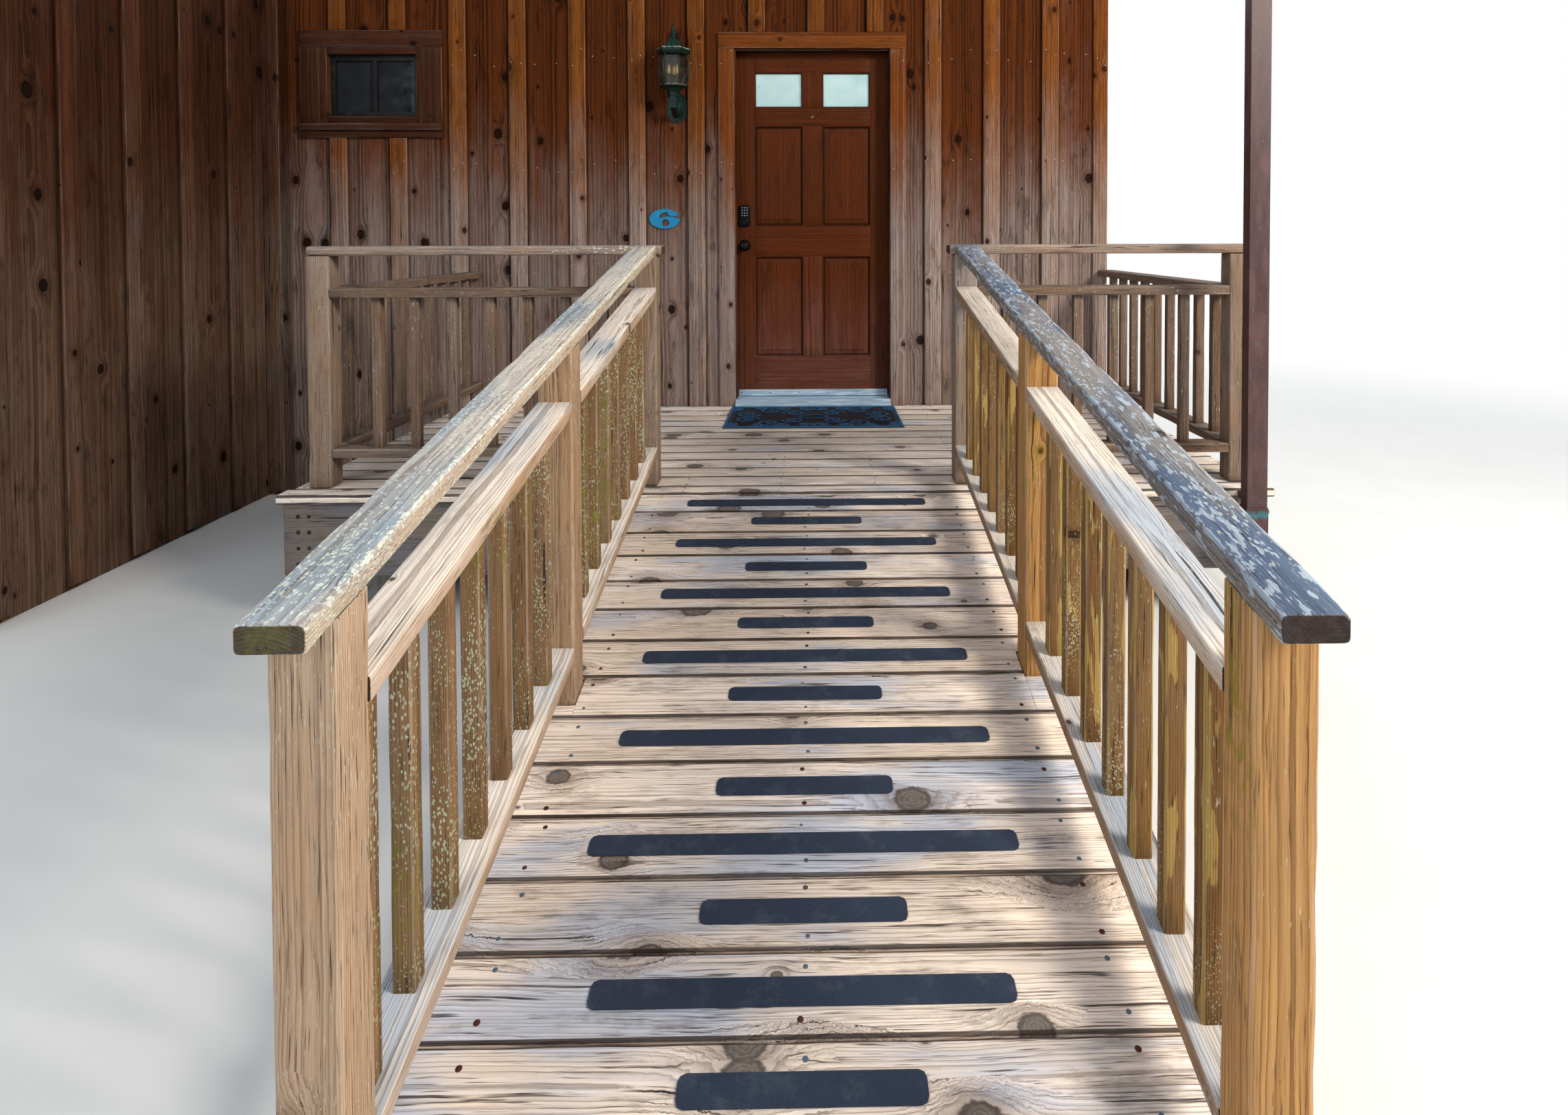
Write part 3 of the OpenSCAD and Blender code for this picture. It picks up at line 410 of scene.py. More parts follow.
# Sets a finished mesh in its place as a piece: on its body, instead of the solids it dresses, with its material.
def place_piece(data, name, slot, *nodes, body="structure"):
    piece = bpy.data.objects.new(name, data)
    scene.collection.objects.link(piece)
    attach(piece, body)
    if nodes:
        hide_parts(*nodes)
    return piece


def put(mesh, name, material, slot, *nodes, body="structure", smooth=True):
    data = bpy.data.meshes.new(name)
    mesh.to_mesh(data)
    mesh.free()
    for face in data.polygons:
        face.use_smooth = smooth and len(face.vertices) < 9
    data.materials.append(material)
    return place_piece(data, name, slot, *nodes, body=body)


plank_wood = timber("plank wood", (.98, .87, .76), (.46, .37, .31), (.98, .91, .85), ring=0.0060, knots=0.42,
                    knot_size=0.036, dirt=0.42, checks=0.65, relief=1.6, cool=0.52, cool_tone=(.76, .78, .83),
                    top=0.2, streaks=0.22, hair=0.85, worn=0.1, gap_dirt_and_shade=0.97, core=(.56, .52, .49))
planks = new_boards()
up_ramp = Vector((0, math.cos(slope), math.sin(slope)))
off_ramp = Vector((0, -math.sin(slope), math.cos(slope)))
toe = Vector((0, toe_y, toe_z)) - up_ramp * plank_back


def plank_part(number, low, high, start, length, middle, sink, ends):
    centre = toe + up_ramp * ((low + high) / 2) + off_ramp * (sink - thick / 2) + Vector((start, 0, 0))
    board(planks, length, high - low, thick, lay(centre, (1, 0, 0), off_ramp), 900 + number, ease=0.0032,
          wear=1.0, uneven=0.0009, part=(start, (low + high) / 2 - middle), ends=ends)


for i in range(plank_count):
    near = i * plank_pitch + plank_gap / 2
    far = near + plank_w - (top_cut if i == plank_count - 1 else 0)
    luck = random.Random(900 + i)
    ends, ears = {}, {-1: [], 1: []}
    for side, overhang in ((-1, 0.076), (1, 0.056)):
        ends[side] = end_x = rail_x + overhang - luck.uniform(0, 0.005)
        for y in (foot_y, mid_y[side]):
            cut0 = (y - toe_y) / math.cos(slope) + plank_back - 0.002
            cut1 = (y + post - toe_y) / math.cos(slope) + plank_back + 0.002
            if cut1 > near and cut0 < far:
                ends[side] = rail_x - 0.002
                ears[side] = [(a, b, end_x) for a, b in ((near, min(cut0, far)), (max(cut1, near), far))
                              if b - a > 0.008]
    sink, middle = luck.uniform(-0.0012, 0.0), (near + far) / 2
    plank_part(i, near, far, -ends[-1], ends[1] + ends[-1], middle, sink,
               (0 if ears[-1] else 1, 0 if ears[1] else 1))
    for side in (-1, 1):
        for a, b, end_x in ears[side]:
            start = -end_x if side < 0 else rail_x - 0.002
            plank_part(i, a, b, start, end_x - rail_x + 0.002, middle, sink, (1, 0) if side < 0 else (0, 1))
put(planks, "ramp_planks_dressed", plank_wood, "decking", "ramp_planks")

# Deck boards and the trim board along the deck's front edge: the same dressed lumber laid flat, bleached paler
# than the ramp. The boards run from side to side, with a gap between rows.
deck_wood = timber("deck wood", (.97, .88, .77), (.48, .39, .33), (.96, .90, .85), ring=0.0060, knot_size=0.030,
                   checks=0.55, relief=1.5, cool=0.35, cool_tone=(.82, .84, .88), top=0.2, streaks=0.25, hair=0.65,
                   worn=0.1, gap_dirt_and_shade=0.97, core=(.56, .52, .49))
deck_x0, deck_x1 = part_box("deck_edge_trim")[0][0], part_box("deck_edge_trim")[1][0]
wall_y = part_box("front_wall_base")[0][1]
rows, row_gap = 12, 0.004
rows_y = deck_y + post
row_pitch = (wall_y - deck_y - post) / rows


# A board between two corners of a box, its grain along axis 0, 1 or 2 and its depth on the thinner side.
def sawn(mesh, low, high, run, seed, **more):
    low, high = Vector(low), Vector(high)
    size, start = high - low, (low + high) / 2
    start[run] = low[run]
    thin = min((a for a in range(3) if a != run), key=lambda a: size[a])
    wide = 3 - run - thin
    axes = [Vector([float(a == b) for b in range(3)]) for a in range(3)]
    board(mesh, size[run], size[wide], size[thin], lay(start, axes[run], axes[thin]), seed, **more)


decking = new_boards()
low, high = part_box("deck_boards")
for i in range(rows):
    y = rows_y + i * row_pitch + row_gap
    sawn(decking, (low[0], y, deck_top - thick),
         (high[0], y + row_pitch - row_gap, deck_top - random.Random(i).uniform(0, 0.001)), 0, 930 + i,
         ease=0.004, wear=1.3, uneven=0.0008)
put(decking, "deck_boards_dressed", deck_wood, "decking", "deck_boards")
trim = new_boards()
sawn(trim, (deck_x0, deck_y, deck_top - thick), (deck_x1, rows_y, deck_top), 0, 950, ease=0.005, wear=1.5,
     uneven=0.0008)
put(trim, "deck_edge_trim_dressed", deck_wood, "decking", "deck_edge_trim")

# Fascia boards round the deck's three open sides, and the framing under the deck and the ramp, which keeps its
# solids and takes only a rougher wood.
fascia_wood = timber("fascia wood", (.50, .41, .33), (.31, .25, .20), (.45, .42, .40), weather=0.6, ring=0.006,
                     knots=0.35, knot_size=0.016, dirt=0.35, checks=0.6, cool=0.6, cool_tone=(.40, .43, .49),
                     hair=0.7)
fascia = new_boards()
low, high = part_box("deck_fascia")
sawn(fascia, low, (high[0], low[1] + thick, high[2]), 0, 960, ease=0.004)
sawn(fascia, (low[0], low[1] + thick, low[2]), (low[0] + thick, high[1], high[2]), 1, 961, ease=0.004)
sawn(fascia, (high[0] - thick, low[1] + thick, low[2]), (high[0], high[1], high[2]), 1, 962, ease=0.004)
put(fascia, "deck_fascia_dressed", fascia_wood, "framing", "deck_fascia")


def repaint(material, *nodes):
    for node in nodes:
        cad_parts[node].data.materials.clear()
        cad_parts[node].data.materials.append(material)


for node, run in (("ramp_stringers", "y"), ("ramp_sleepers", "x"), ("deck_joists", "y"), ("deck_beam", "x")):
    repaint(timber(node + " wood", (.56, .46, .35), (.40, .30, .22), (.46, .42, .37), weather=0.4, ring=0.006,
                   knots=0.3, dirt=0.5, run=run), node)

# Ramp posts, each seated under its handrail and running down past the planks to the ground. The handrail's top
# line, which the posts, rails and balusters all follow, is worked out here.
foot_h, guard_h = 0.942, 0.955
cap_z0, cap_z1 = toe_z + foot_in * math.tan(slope) + foot_h, deck_top + guard_h
cap_rise = (cap_z1 - cap_z0) / (head_y - foot_y)
cap_turn = math.atan(cap_rise)
cap_v = thick / math.cos(cap_turn)


def cap_z(y):
    return cap_z0 + (y - foot_y) * cap_rise


left_post_wood = timber("left post wood", (.66, .52, .385), (.36, .26, .18), (.68, .60, .52), weather=0.42,
                        ring=0.0042, knots=0.1, dirt=0.2, checks=0.35, lichen=0.3, fleck=0.7, pale=(.80, .78, .70),
                        specks=1.0, cool=0.15, hair=0.9)
right_post_wood = timber("right post wood", (.73, .54, .32), (.38, .21, .09), (.62, .50, .37), weather=0.2,
                         ring=0.0085, knots=0.5, knot_size=0.014, dirt=0.1, checks=0.25, moss=0.4,
                         mossy=(.50, .46, .10), specks=0.15, streaks=0.25, cool=0.05, hair=0.7)
for side, word, wood in ((-1, "left", left_post_wood), (1, "right", right_post_wood)):
    posts = new_boards()
    x0 = -rail_x - post if side < 0 else rail_x
    for i, y in enumerate((foot_y, mid_y[side])):
        board(posts, cap_z(y + post / 2) - cap_v + 0.002, post, post,
              lay((x0 + post / 2, y + post / 2, 0), (0, 0, 1), (0, 1, 0)), 970 + i + (side > 0) * 5,
              ease=0.0045, wear=0.6, uneven=0.0005, plumb=cap_rise, square_foot=True)
    put(posts, f"ramp_{word}_posts_dressed", wood, "post_wood", f"ramp_{word}_posts")


# Handrails: two-by-fours laid flat with plumb ends, silvered by the weather on top. The sloping ones follow the
# ramp, and a level one caps the guard on each side of it.
def sloping(mesh, x, y0, y1, drop, seed, ease):
    start, end = (Vector((x, y, cap_z(y) - drop - cap_v / 2)) for y in (y0, y1))
    way = (end - start).normalized()
    board(mesh, (end - start).length, post, thick, lay(start, way, (0, -way.z, way.y)), seed, ease=ease,
          wear=0.8, plumb=math.tan(cap_turn))


left_cap_wood = timber("left handrail wood", (.78, .68, .57), (.43, .35, .28), (.82, .77, .72), weather=0.42,
                       ring=0.0048, knots=0.15, dirt=0.22, checks=0.6, lichen=0.75, relief=1.3, pale=(.84, .86, .80),
                       cool=0.50, cool_tone=(.58, .63, .67), top=0.5, specks=1.0, streaks=0.25, end=(.25, .20, .14),
                       end_moss=0.55, mossy=(.34, .34, .12), worn=0.25, hair=0.75, bare=0.30,
                       bare_tone=(.85, .87, .83), bare_size=0.24)
# The right handrail is a darker, cooler slate than the left: painted shade of that shaded rail, over its own pale
# bare patches and lichen.
right_cap_wood_in_shade = timber("right handrail wood, painted shade", (.52, .45, .38), (.26, .22, .20), (.56, .54, .53), weather=0.40,
                        ring=0.0048, knots=0.2, knot_size=0.014, checks=0.7, lichen=0.5, relief=1.3,
                        pale=(.70, .74, .76), fleck=1.3, cool=0.80, cool_tone=(.33, .40, .50), top=0.5, specks=1.0,
                        streaks=0.35, end=(.20, .14, .12), worn=0.15, hair=0.75, bare=0.42, bare_tone=(.66, .71, .76),
                        bare_size=0.42)
guard_cap_wood = timber("guard handrail wood", (.57, .455, .37), (.35, .26, .19), (.58, .53, .49), weather=0.42,
                        ring=0.0048, knots=0.15, dirt=0.15, checks=0.6, lichen=0.25, fleck=1.6, pale=(.78, .80, .76),
                        cool=0.3, top=0.3, specks=0.6, worn=0.2, hair=0.6)
for side, word, wood in ((-1, "left", left_cap_wood), (1, "right", right_cap_wood_in_shade)):
    rail = new_boards()
    sloping(rail, side * (rail_x + post / 2), foot_y - 0.064, head_y, 0, 980 + side, 0.0036)
    put(rail, f"ramp_{word}_handrail_dressed", wood, "rail_wood", f"ramp_{word}_handrail")
for word, inner in (("left", 1), ("right", 0)):
    rail = new_boards()
    low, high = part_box(f"guard_{word}_handrail")
    sawn(rail, low, high, 0, 985 + inner, ease=0.0062, wear=1.0)
    put(rail, f"guard_{word}_handrail_dressed", guard_cap_wood, "rail_wood", f"guard_{word}_handrail")

# The bays under the ramp's handrails: sub-rail, bottom rail and seven square balusters each, let into the rails.
# On the right they are spaced evenly. On the left each bay starts with its own wider or narrower gap.
stick_w, bay_sticks, left_leads, let_in = 0.038, 7, (0.033, 0.130), 0.008
sub_drop, bottom_drop = 0.166, 0.800
left_stick_wood = timber("left baluster wood", (.50, .37, .24), (.27, .19, .12), (.52, .44, .35), weather=0.26,
                         ring=0.0042, knots=0.16, dirt=0.2, lichen=0.84, moss=0.62, pale=(.70, .73, .60), fleck=0.8,
                         specks=0.4, cool=0.05, worn=0.4, top=0.5, hair=0.7, mossy=(.44, .43, .10))
right_stick_wood = timber("right baluster wood", (.50, .36, .20), (.28, .18, .10), (.50, .42, .31), weather=0.2,
                          ring=0.0042, knots=0.2, dirt=0.15, lichen=0.5, fleck=0.6, pale=(.78, .78, .64), moss=0.15,
                          bare=0.42, bare_tone=(.70, .58, .32), specks=0.3, cool=0.05, worn=0.4, top=0.5, hair=0.7)
sub_rail_wood = timber("sub-rail wood", (.65, .51, .38), (.36, .27, .20), (.89, .84, .79), weather=0.26, ring=0.0045,
                       knots=0.2, knot_size=0.014, dirt=0.18, lichen=0.2, pale=(.88, .89, .85), specks=0.9, cool=0.45,
                       cool_tone=(.68, .71, .75), top=0.75, streaks=0.18, worn=0.12, hair=0.6, moss=0.1)
for side, word, wood in ((-1, "left", left_stick_wood), (1, "right", right_stick_wood)):
    bays, rails = new_boards(), new_boards()
    mid_x = side * (rail_x + post / 2)
    for b, (y0, y1) in enumerate(((foot_y + post, mid_y[side]), (mid_y[side] + post, head_y))):
        lead = (y1 - y0 - bay_sticks * stick_w) / (bay_sticks + 1) if side > 0 else left_leads[b]
        pace = (y1 - y0 - lead) / bay_sticks
        for k, drop in enumerate((sub_drop, bottom_drop)):
            sloping(rails, mid_x, y0, y1, drop, 1000 + side * 50 + b * 10 + k, 0.0022)
        for i in range(bay_sticks):
            y = y0 + lead + i * pace
            sawn(bays, (mid_x - stick_w / 2, y, cap_z(y) - bottom_drop - let_in),
                 (mid_x + stick_w / 2, y + stick_w, cap_z(y + stick_w) - sub_drop - cap_v + let_in), 2,
                 1100 + side * 200 + b * 20 + i, ease=0.0025, wear=0.8)
    put(rails, f"ramp_{word}_rails_dressed", sub_rail_wood, "baluster_wood")
    put(bays, f"ramp_{word}_balusters_dressed", wood, "baluster_wood", f"ramp_{word}_balusters")

# Guards round the deck: posts on its edge, a bay along the front on each side of the ramp's head, and a bay back
# to the wall, which has no handrail.
guard_post_wood = timber("guard post wood", (.54, .43, .345), (.35, .26, .19), (.53, .47, .42), knots=0.25,
                         knot_size=0.014, dirt=0.2, specks=0.35, streaks=0.45, cool=0.3, hair=0.7)
guard_stick_wood = timber("guard baluster wood", (.47, .365, .285), (.30, .215, .155), (.46, .40, .36), weather=0.45,
                          ring=0.0045, knots=0.2, knot_size=0.013, dirt=0.25, lichen=0.1, fleck=0.6, specks=0.5,
                          moss=0.1, streaks=0.5, cool=0.2, hair=0.7)
corner_x = {-1: deck_x0 + 0.077, 1: deck_x1 - 0.049 - post}
first_gap, back_sticks, guard_let_in, batten_t = 0.150, 9, 0.006, 0.018
for side, word, n in ((-1, "left", 7), (1, "right", 6)):
    posts, bays, back = new_boards(), new_boards(), new_boards()
    inner_x = -rail_x - post if side < 0 else rail_x
    for i, x in enumerate((corner_x[side], inner_x)):
        sawn(posts, (x, head_y, deck_top), (x + post, head_y + post, cap_z1 - thick), 2, 1200 + side * 4 + i,
             ease=0.004)
    x0, x1 = (corner_x[-1] + post, inner_x) if side < 0 else (corner_x[1], rail_x + post)
    y0, y1 = head_y + post, wall_y - batten_t
    for k, drop in enumerate((sub_drop, bottom_drop)):
        top = cap_z1 - drop
        sawn(bays, (min(x0, x1), head_y, top - thick), (max(x0, x1), head_y + post, top), 0,
             1220 + side * 4 + k, ease=0.004)
        sawn(back, (corner_x[side], y0, top - thick), (corner_x[side] + post, y1, top), 1,
             1230 + side * 4 + k, ease=0.004)
    low_z, high_z = cap_z1 - bottom_drop - guard_let_in, cap_z1 - sub_drop - thick + guard_let_in
    pace = (abs(x1 - x0) - first_gap) / n
    for i in range(n):
        x = x0 - side * (first_gap + i * pace + stick_w / 2) - stick_w / 2
        sawn(bays, (x, head_y + (post - stick_w) / 2, low_z), (x + stick_w, head_y + (post + stick_w) / 2, high_z),
             2, 1300 + side * 30 + i, ease=0.0025)
    pace = (y1 - y0 + stick_w) / (back_sticks + 1)
    for i in range(1, back_sticks + 1):
        y, x = y0 + i * pace - stick_w, corner_x[side] + (post - stick_w) / 2
        sawn(back, (x, y, low_z), (x + stick_w, y + stick_w, high_z), 2, 1400 + side * 30 + i, ease=0.0025)
    put(posts, f"guard_{word}_posts_dressed", guard_post_wood, "post_wood", f"guard_{word}_posts")
    put(bays, f"guard_{word}_balusters_dressed", guard_stick_wood, "baluster_wood", f"guard_{word}_balusters")
    put(back, f"{word}_side_guard_dressed", guard_stick_wood, "baluster_wood", f"{word}_side_guard")

# Walls: wide rough-sawn boards, stained red-brown under the eaves and greyed lower down, and darkened towards the
# top with painted shade of the eaves. The wing wall stands at the inner corner and is darker. A joint and a board's
# middle are given by how far they lie from the ramp's middle line, or from the corner.
wall_pitch, wall_joint, wall_middle = 0.3415, 0.639, 0.468
wing_pitch, wing_joint, wing_x = 0.355, 0.281, -3.12
wall_wood = timber("wall wood", (.44, .225, .095), (.15, .07, .03), (.55, .475, .44), weather=0.43, ring=0.016,
                   knots=0.60, knot_size=0.022, dirt=0.55, checks=0.6, run="wall", fade_and_eave_shade=(1.1, 2.65, 0.43, 0.57),
                   streaks=0.55, cool=0.2, shine=0.05, late_share=1.8)
wing_wood = timber("wing wall wood", (.31, .175, .105), (.12, .065, .04), (.43, .34, .28), weather=0.38, ring=0.015,
                   knots=0.36, knot_size=0.024, dirt=0.5, checks=0.6, run="wing", fade_and_eave_shade=(0.9, 2.6, 0.32, 0.68),
                   streaks=0.8, cool=0.15, hair=0.6, shine=0.05, late_share=1.8)
repaint(wall_wood, "front_wall_base", "front_wall_left", "front_wall_right", "front_wall_over_door")
repaint(wing_wood, "wing_wall")

# Battens over the joints of the wall boards, with rough wavy edges, and the plates on top of the walls. Battens
# stop at the door's casing and above and below the window's.
batten_wood = timber("batten wood", (.57, .33, .14), (.25, .12, .05), (.61, .54, .50), weather=0.42, ring=0.009,
                     knots=0.50, knot_size=0.015, dirt=0.4, fade_and_eave_shade=(1.1, 2.65, 0.39, 0.64), streaks=0.55, cool=0.2,
                     worn=0.2, hair=0.7, shine=0.06, late_share=2.2)
wing_batten_wood = timber("wing batten wood", (.36, .215, .14), (.15, .085, .055), (.43, .345, .29), weather=0.36,
                          ring=0.009, knots=0.46, knot_size=0.015, dirt=0.5, checks=0.6, fade_and_eave_shade=(0.9, 2.6, 0.30, 0.72),
                          streaks=0.7, cool=0.2, worn=0.15, hair=0.7, shine=0.06, late_share=2.0)
plate_wood = timber("plate wood", (.62, .49, .34), (.46, .33, .21), (.52, .46, .39), weather=0.2, ring=0.006,
                    knots=0.3, dirt=0.1)
battens = new_boards()
batten_w, batten_foot = 0.098, 0.02
left_batten, right_batten, middle_batten, wing_batten = -0.688, 0.682, 0.004, 0.330
wall_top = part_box("front_wall_left")[1][2]
window_low, window_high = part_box("window_casing")
casing_low, casing_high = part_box("door_casing")
end_x, end_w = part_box("wall_battens")[1][0], 0.085
spans = [(x, batten_w, deck_top, wall_top) for x in [left_batten - k * wall_pitch for k in range(5)]
         + [right_batten + k * wall_pitch for k in range(3)]]
spans += [(middle_batten + k * wall_pitch, batten_w, casing_high[2], wall_top) for k in (-1, 0, 1)]
spans += [(end_x - end_w, end_w, deck_top, wall_top)]
spans += [(left_batten - k * wall_pitch, batten_w, z0, z1) for k in (5, 6)
          for z0, z1 in ((window_high[2], wall_top), (batten_foot, window_low[2]))]
rough_edge = dict(ease=0.0025, wear=1.2, uneven=0.0016)
for i, (x, w, z0, z1) in enumerate(spans):
    sawn(battens, (x, wall_y - batten_t, z0), (x + w, wall_y + 0.002, z1), 2, 1500 + i, **rough_edge)
put(battens, "wall_battens_dressed", batten_wood, "batten_wood", "wall_battens")
wing_battens = new_boards()
sawn(wing_battens, (wing_x, wall_y - batten_t, batten_foot), (wing_x + batten_w, wall_y + 0.002, wall_top), 2,
     1529, **rough_edge)
for i in range(5):
    y = wall_y - wing_batten - i * wing_pitch
    sawn(wing_battens, (wing_x - 0.002, y, batten_foot), (wing_x + batten_t, y + batten_w, wall_top), 2,
         1530 + i, **rough_edge)
put(wing_battens, "wing_battens_dressed", wing_batten_wood, "batten_wood")
plates = new_boards()
low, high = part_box("wall_top_plates")
sawn(plates, (wing_x, wall_y, low[2]), high, 0, 1550)
sawn(plates, low, (wing_x, high[1], high[2]), 1, 1551)
put(plates, "wall_top_plates_dressed", plate_wood, "plate_wood", "wall_top_plates")

# Casing boards and jamb of the doorway. The jamb has stops on three sides, against which the leaf closes from
# indoors.
casing_wood = timber("casing wood", (.49, .265, .10), (.26, .12, .045), (.59, .52, .49), weather=0.42, ring=0.008,
                     knots=0.6, knot_size=0.012, checks=0.4, fade_and_eave_shade=(1.1, 2.45, 0.40, 0.82), streaks=0.4, cool=0.15,
                     worn=0.2, hair=0.7, shine=0.08, late_share=2.4)
# The jamb's wood is darker than the casing's: painted shade of the doorway's recess.
jamb_wood_in_shade = timber("jamb wood, painted shade", (.27, .14, .09), (.18, .085, .055), (.33, .22, .17), weather=0.15, ring=0.004,
                   knots=0.0, dirt=0.25, checks=0.1, relief=0.6, fade_and_eave_shade=(1.2, 2.4, 0.2, 0.7), shine=0.08)
casing_edge = dict(ease=0.003, uneven=0.0009)
casing = new_boards()
door_x = (casing_low[0] + casing_high[0]) / 2
case_w = 0.094
case_in = (casing_high[0] - casing_low[0]) / 2 - case_w
case_z = casing_high[2] - case_w
for s in (-1, 1):
    x = door_x + s * (case_in + case_w / 2)
    sawn(casing, (x - case_w / 2, casing_low[1], deck_top), (x + case_w / 2, wall_y, case_z), 2, 1600 + s,
         **casing_edge)
sawn(casing, (casing_low[0], casing_low[1], case_z), (casing_high[0], wall_y, casing_high[2]), 0, 1603,
     **casing_edge)
put(casing, "door_casing_dressed", casing_wood, "casing_wood", "door_casing")
jamb_edge = dict(ease=0.0015, wear=0.4)
jamb = new_boards()
low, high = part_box("door_jamb")
jamb_t, stop_w, stop_y, leaf_z = 0.030, 0.015, low[1] + 0.078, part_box("door_leaf")[0][2]
head_z = high[2] - jamb_t
for s, x0, x1 in ((-1, low[0], low[0] + jamb_t), (1, high[0] - jamb_t, high[0])):
    sawn(jamb, (x0, low[1], low[2]), (x1, high[1], head_z), 2, 1610 + s, **jamb_edge)
    inner = x1 if s < 0 else x0 - stop_w
    sawn(jamb, (inner, low[1], leaf_z - 0.005), (inner + stop_w, stop_y, head_z), 2, 1613 + s, **jamb_edge)
sawn(jamb, (low[0], low[1], head_z), high, 0, 1616, **jamb_edge)
sawn(jamb, (low[0] + jamb_t + stop_w, low[1], head_z - stop_w), (high[0] - jamb_t - stop_w, stop_y, head_z), 0,
     1617, **jamb_edge)
put(jamb, "door_jamb_dressed", jamb_wood_in_shade, "casing_wood", "door_jamb")

# Casing, sill, apron and lining of the small window by the inner corner: nailed boards, dark with their stain and
# with painted shade of the inner corner, nearly as dark as the wing wall beside them. The frame inside them keeps
# its solids.
window_trim_wood_in_shade = timber("window casing wood, painted shade", (.27, .145, .08), (.14, .07, .04), (.32, .22, .165), weather=0.25,
                   ring=0.008, knot_size=0.011, dirt=0.4, checks=0.4, streaks=0.5, cool=0.1, worn=0.2, hair=0.7,
                   shine=0.08, late_share=2.2)
window = new_boards()
(wx0, wy0, wz0), (wx1, wy1, wz1) = window_low, window_high
side_w, buck, sill_t, apron_h, front_y = 0.110, 0.042, 0.040, 0.042, wall_y - 0.020
lining_y = front_y + 0.006
hole_z0, hole_z1 = wz0 + apron_h + sill_t, wz1 - case_w
for i, x in enumerate((wx0, wx1 - side_w)):
    sawn(window, (x, front_y, hole_z0), (x + side_w, wall_y, hole_z1), 2, 1620 + i, **casing_edge)
sawn(window, (wx0, front_y, hole_z1), (wx1, wall_y, wz1), 0, 1622, **casing_edge)
sawn(window, (wx0, wy0, wz0 + apron_h), (wx1, wall_y, hole_z0), 0, 1623, ease=0.004, uneven=0.0009)
sawn(window, (wx0, front_y, wz0), (wx1, wall_y, wz0 + apron_h), 0, 1624, ease=0.003)
for i, x in enumerate((wx0 + side_w, wx1 - side_w - buck)):
    sawn(window, (x, lining_y, hole_z0), (x + buck, wy1, hole_z1), 2, 1625 + i, ease=0.002)
for i, z in enumerate((hole_z0, hole_z1 - buck)):
    sawn(window, (wx0 + side_w + buck, lining_y, z), (wx1 - side_w - buck, wy1, z + buck), 0, 1627 + i,
         ease=0.002)
put(window, "window_casing_dressed", window_trim_wood_in_shade, "casing_wood", "window_casing")

# Door leaf: stiles, rails and mullions of stained wood, round two lights over four panels. The rails stand a
# hair behind the stiles and the mullions behind the rails, as glued joinery does.
door_wood = timber("door wood", (.36, .165, .045), (.20, .075, .02), (.43, .275, .235), weather=0.16, ring=0.006,
                   knots=0.0, dirt=0.45, checks=0.0, gloss=0.6, relief=0.4, fade_and_eave_shade=(0.75, 1.75, 0.38, 0.84),
                   streaks=0.55, cool=0.0, hair=0.45, worn=0.0, gap_dirt_and_shade=0.5, shine=0.09)
leaf = new_boards()
(lx0, ly0, lz0), (lx1, ly1, lz1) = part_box("door_leaf")
stile, mullion, leaf_h = 0.112, 0.110, lz1 - lz0
joints = (0.0, 0.228, 0.826, 1.002, 1.593, 1.697, 1.910, leaf_h)
rails, opens = list(zip(joints[::2], joints[1::2])), list(zip(joints[1::2], joints[2::2]))
leaf_edge = dict(ease=0.0012, wear=0.3, uneven=0.0002)
for i, x in enumerate((lx0, lx1 - stile)):
    sawn(leaf, (x, ly0, lz0), (x + stile, ly1, lz1), 2, 1640 + i, ease=0.0014, wear=0.4, uneven=0.0002)
for i, (z0, z1) in enumerate(rails):
    sawn(leaf, (lx0 + stile, ly0 + 0.0002, lz0 + z0), (lx1 - stile, ly1 - 0.0002, lz0 + z1), 0, 1645 + i,
         **leaf_edge)
for i, (z0, z1) in enumerate(opens):
    sawn(leaf, (door_x - mullion / 2, ly0 + 0.0004, lz0 + z0), (door_x + mullion / 2, ly1 - 0.0004, lz0 + z1), 2,
         1650 + i, **leaf_edge)
put(leaf, "door_leaf_dressed", door_wood, "door_wood", "door_leaf", body="door")


# Mouldings and raised panels of the leaf, on both faces, and a moulding round each light. Each is a set of steps
# inward from the opening's edge, given by how far in, how deep and how much painted shade lies in it.
def stepped(mesh, x, z, w, h, steps, face_y, out, seed, closed):
    layers = mesh.verts.layers
    grain, chance, groove = layers.float_vector["grain"], layers.float["board"], layers.float["groove"]
    luck = random.Random(seed)
    shift, mark = Vector((luck.uniform(1, 50), luck.uniform(-0.04, 0.04), 0.05)), luck.random()
    rings = []
    for inward, depth, recess_shade in steps:
        ring = []
        for sx, sz in ((-1, -1), (1, -1), (1, 1), (-1, 1)):
            vert = mesh.verts.new((x + sx * (w / 2 - inward), face_y - out * depth, z + sz * (h / 2 - inward)))
            vert[grain] = Vector((vert.co.z, vert.co.x - x, depth)) + shift
            vert[chance], vert[groove] = mark, recess_shade
            ring.append(vert)
        rings.append(ring)
    skin(mesh, rings, out > 0, foot=False, lid=closed)


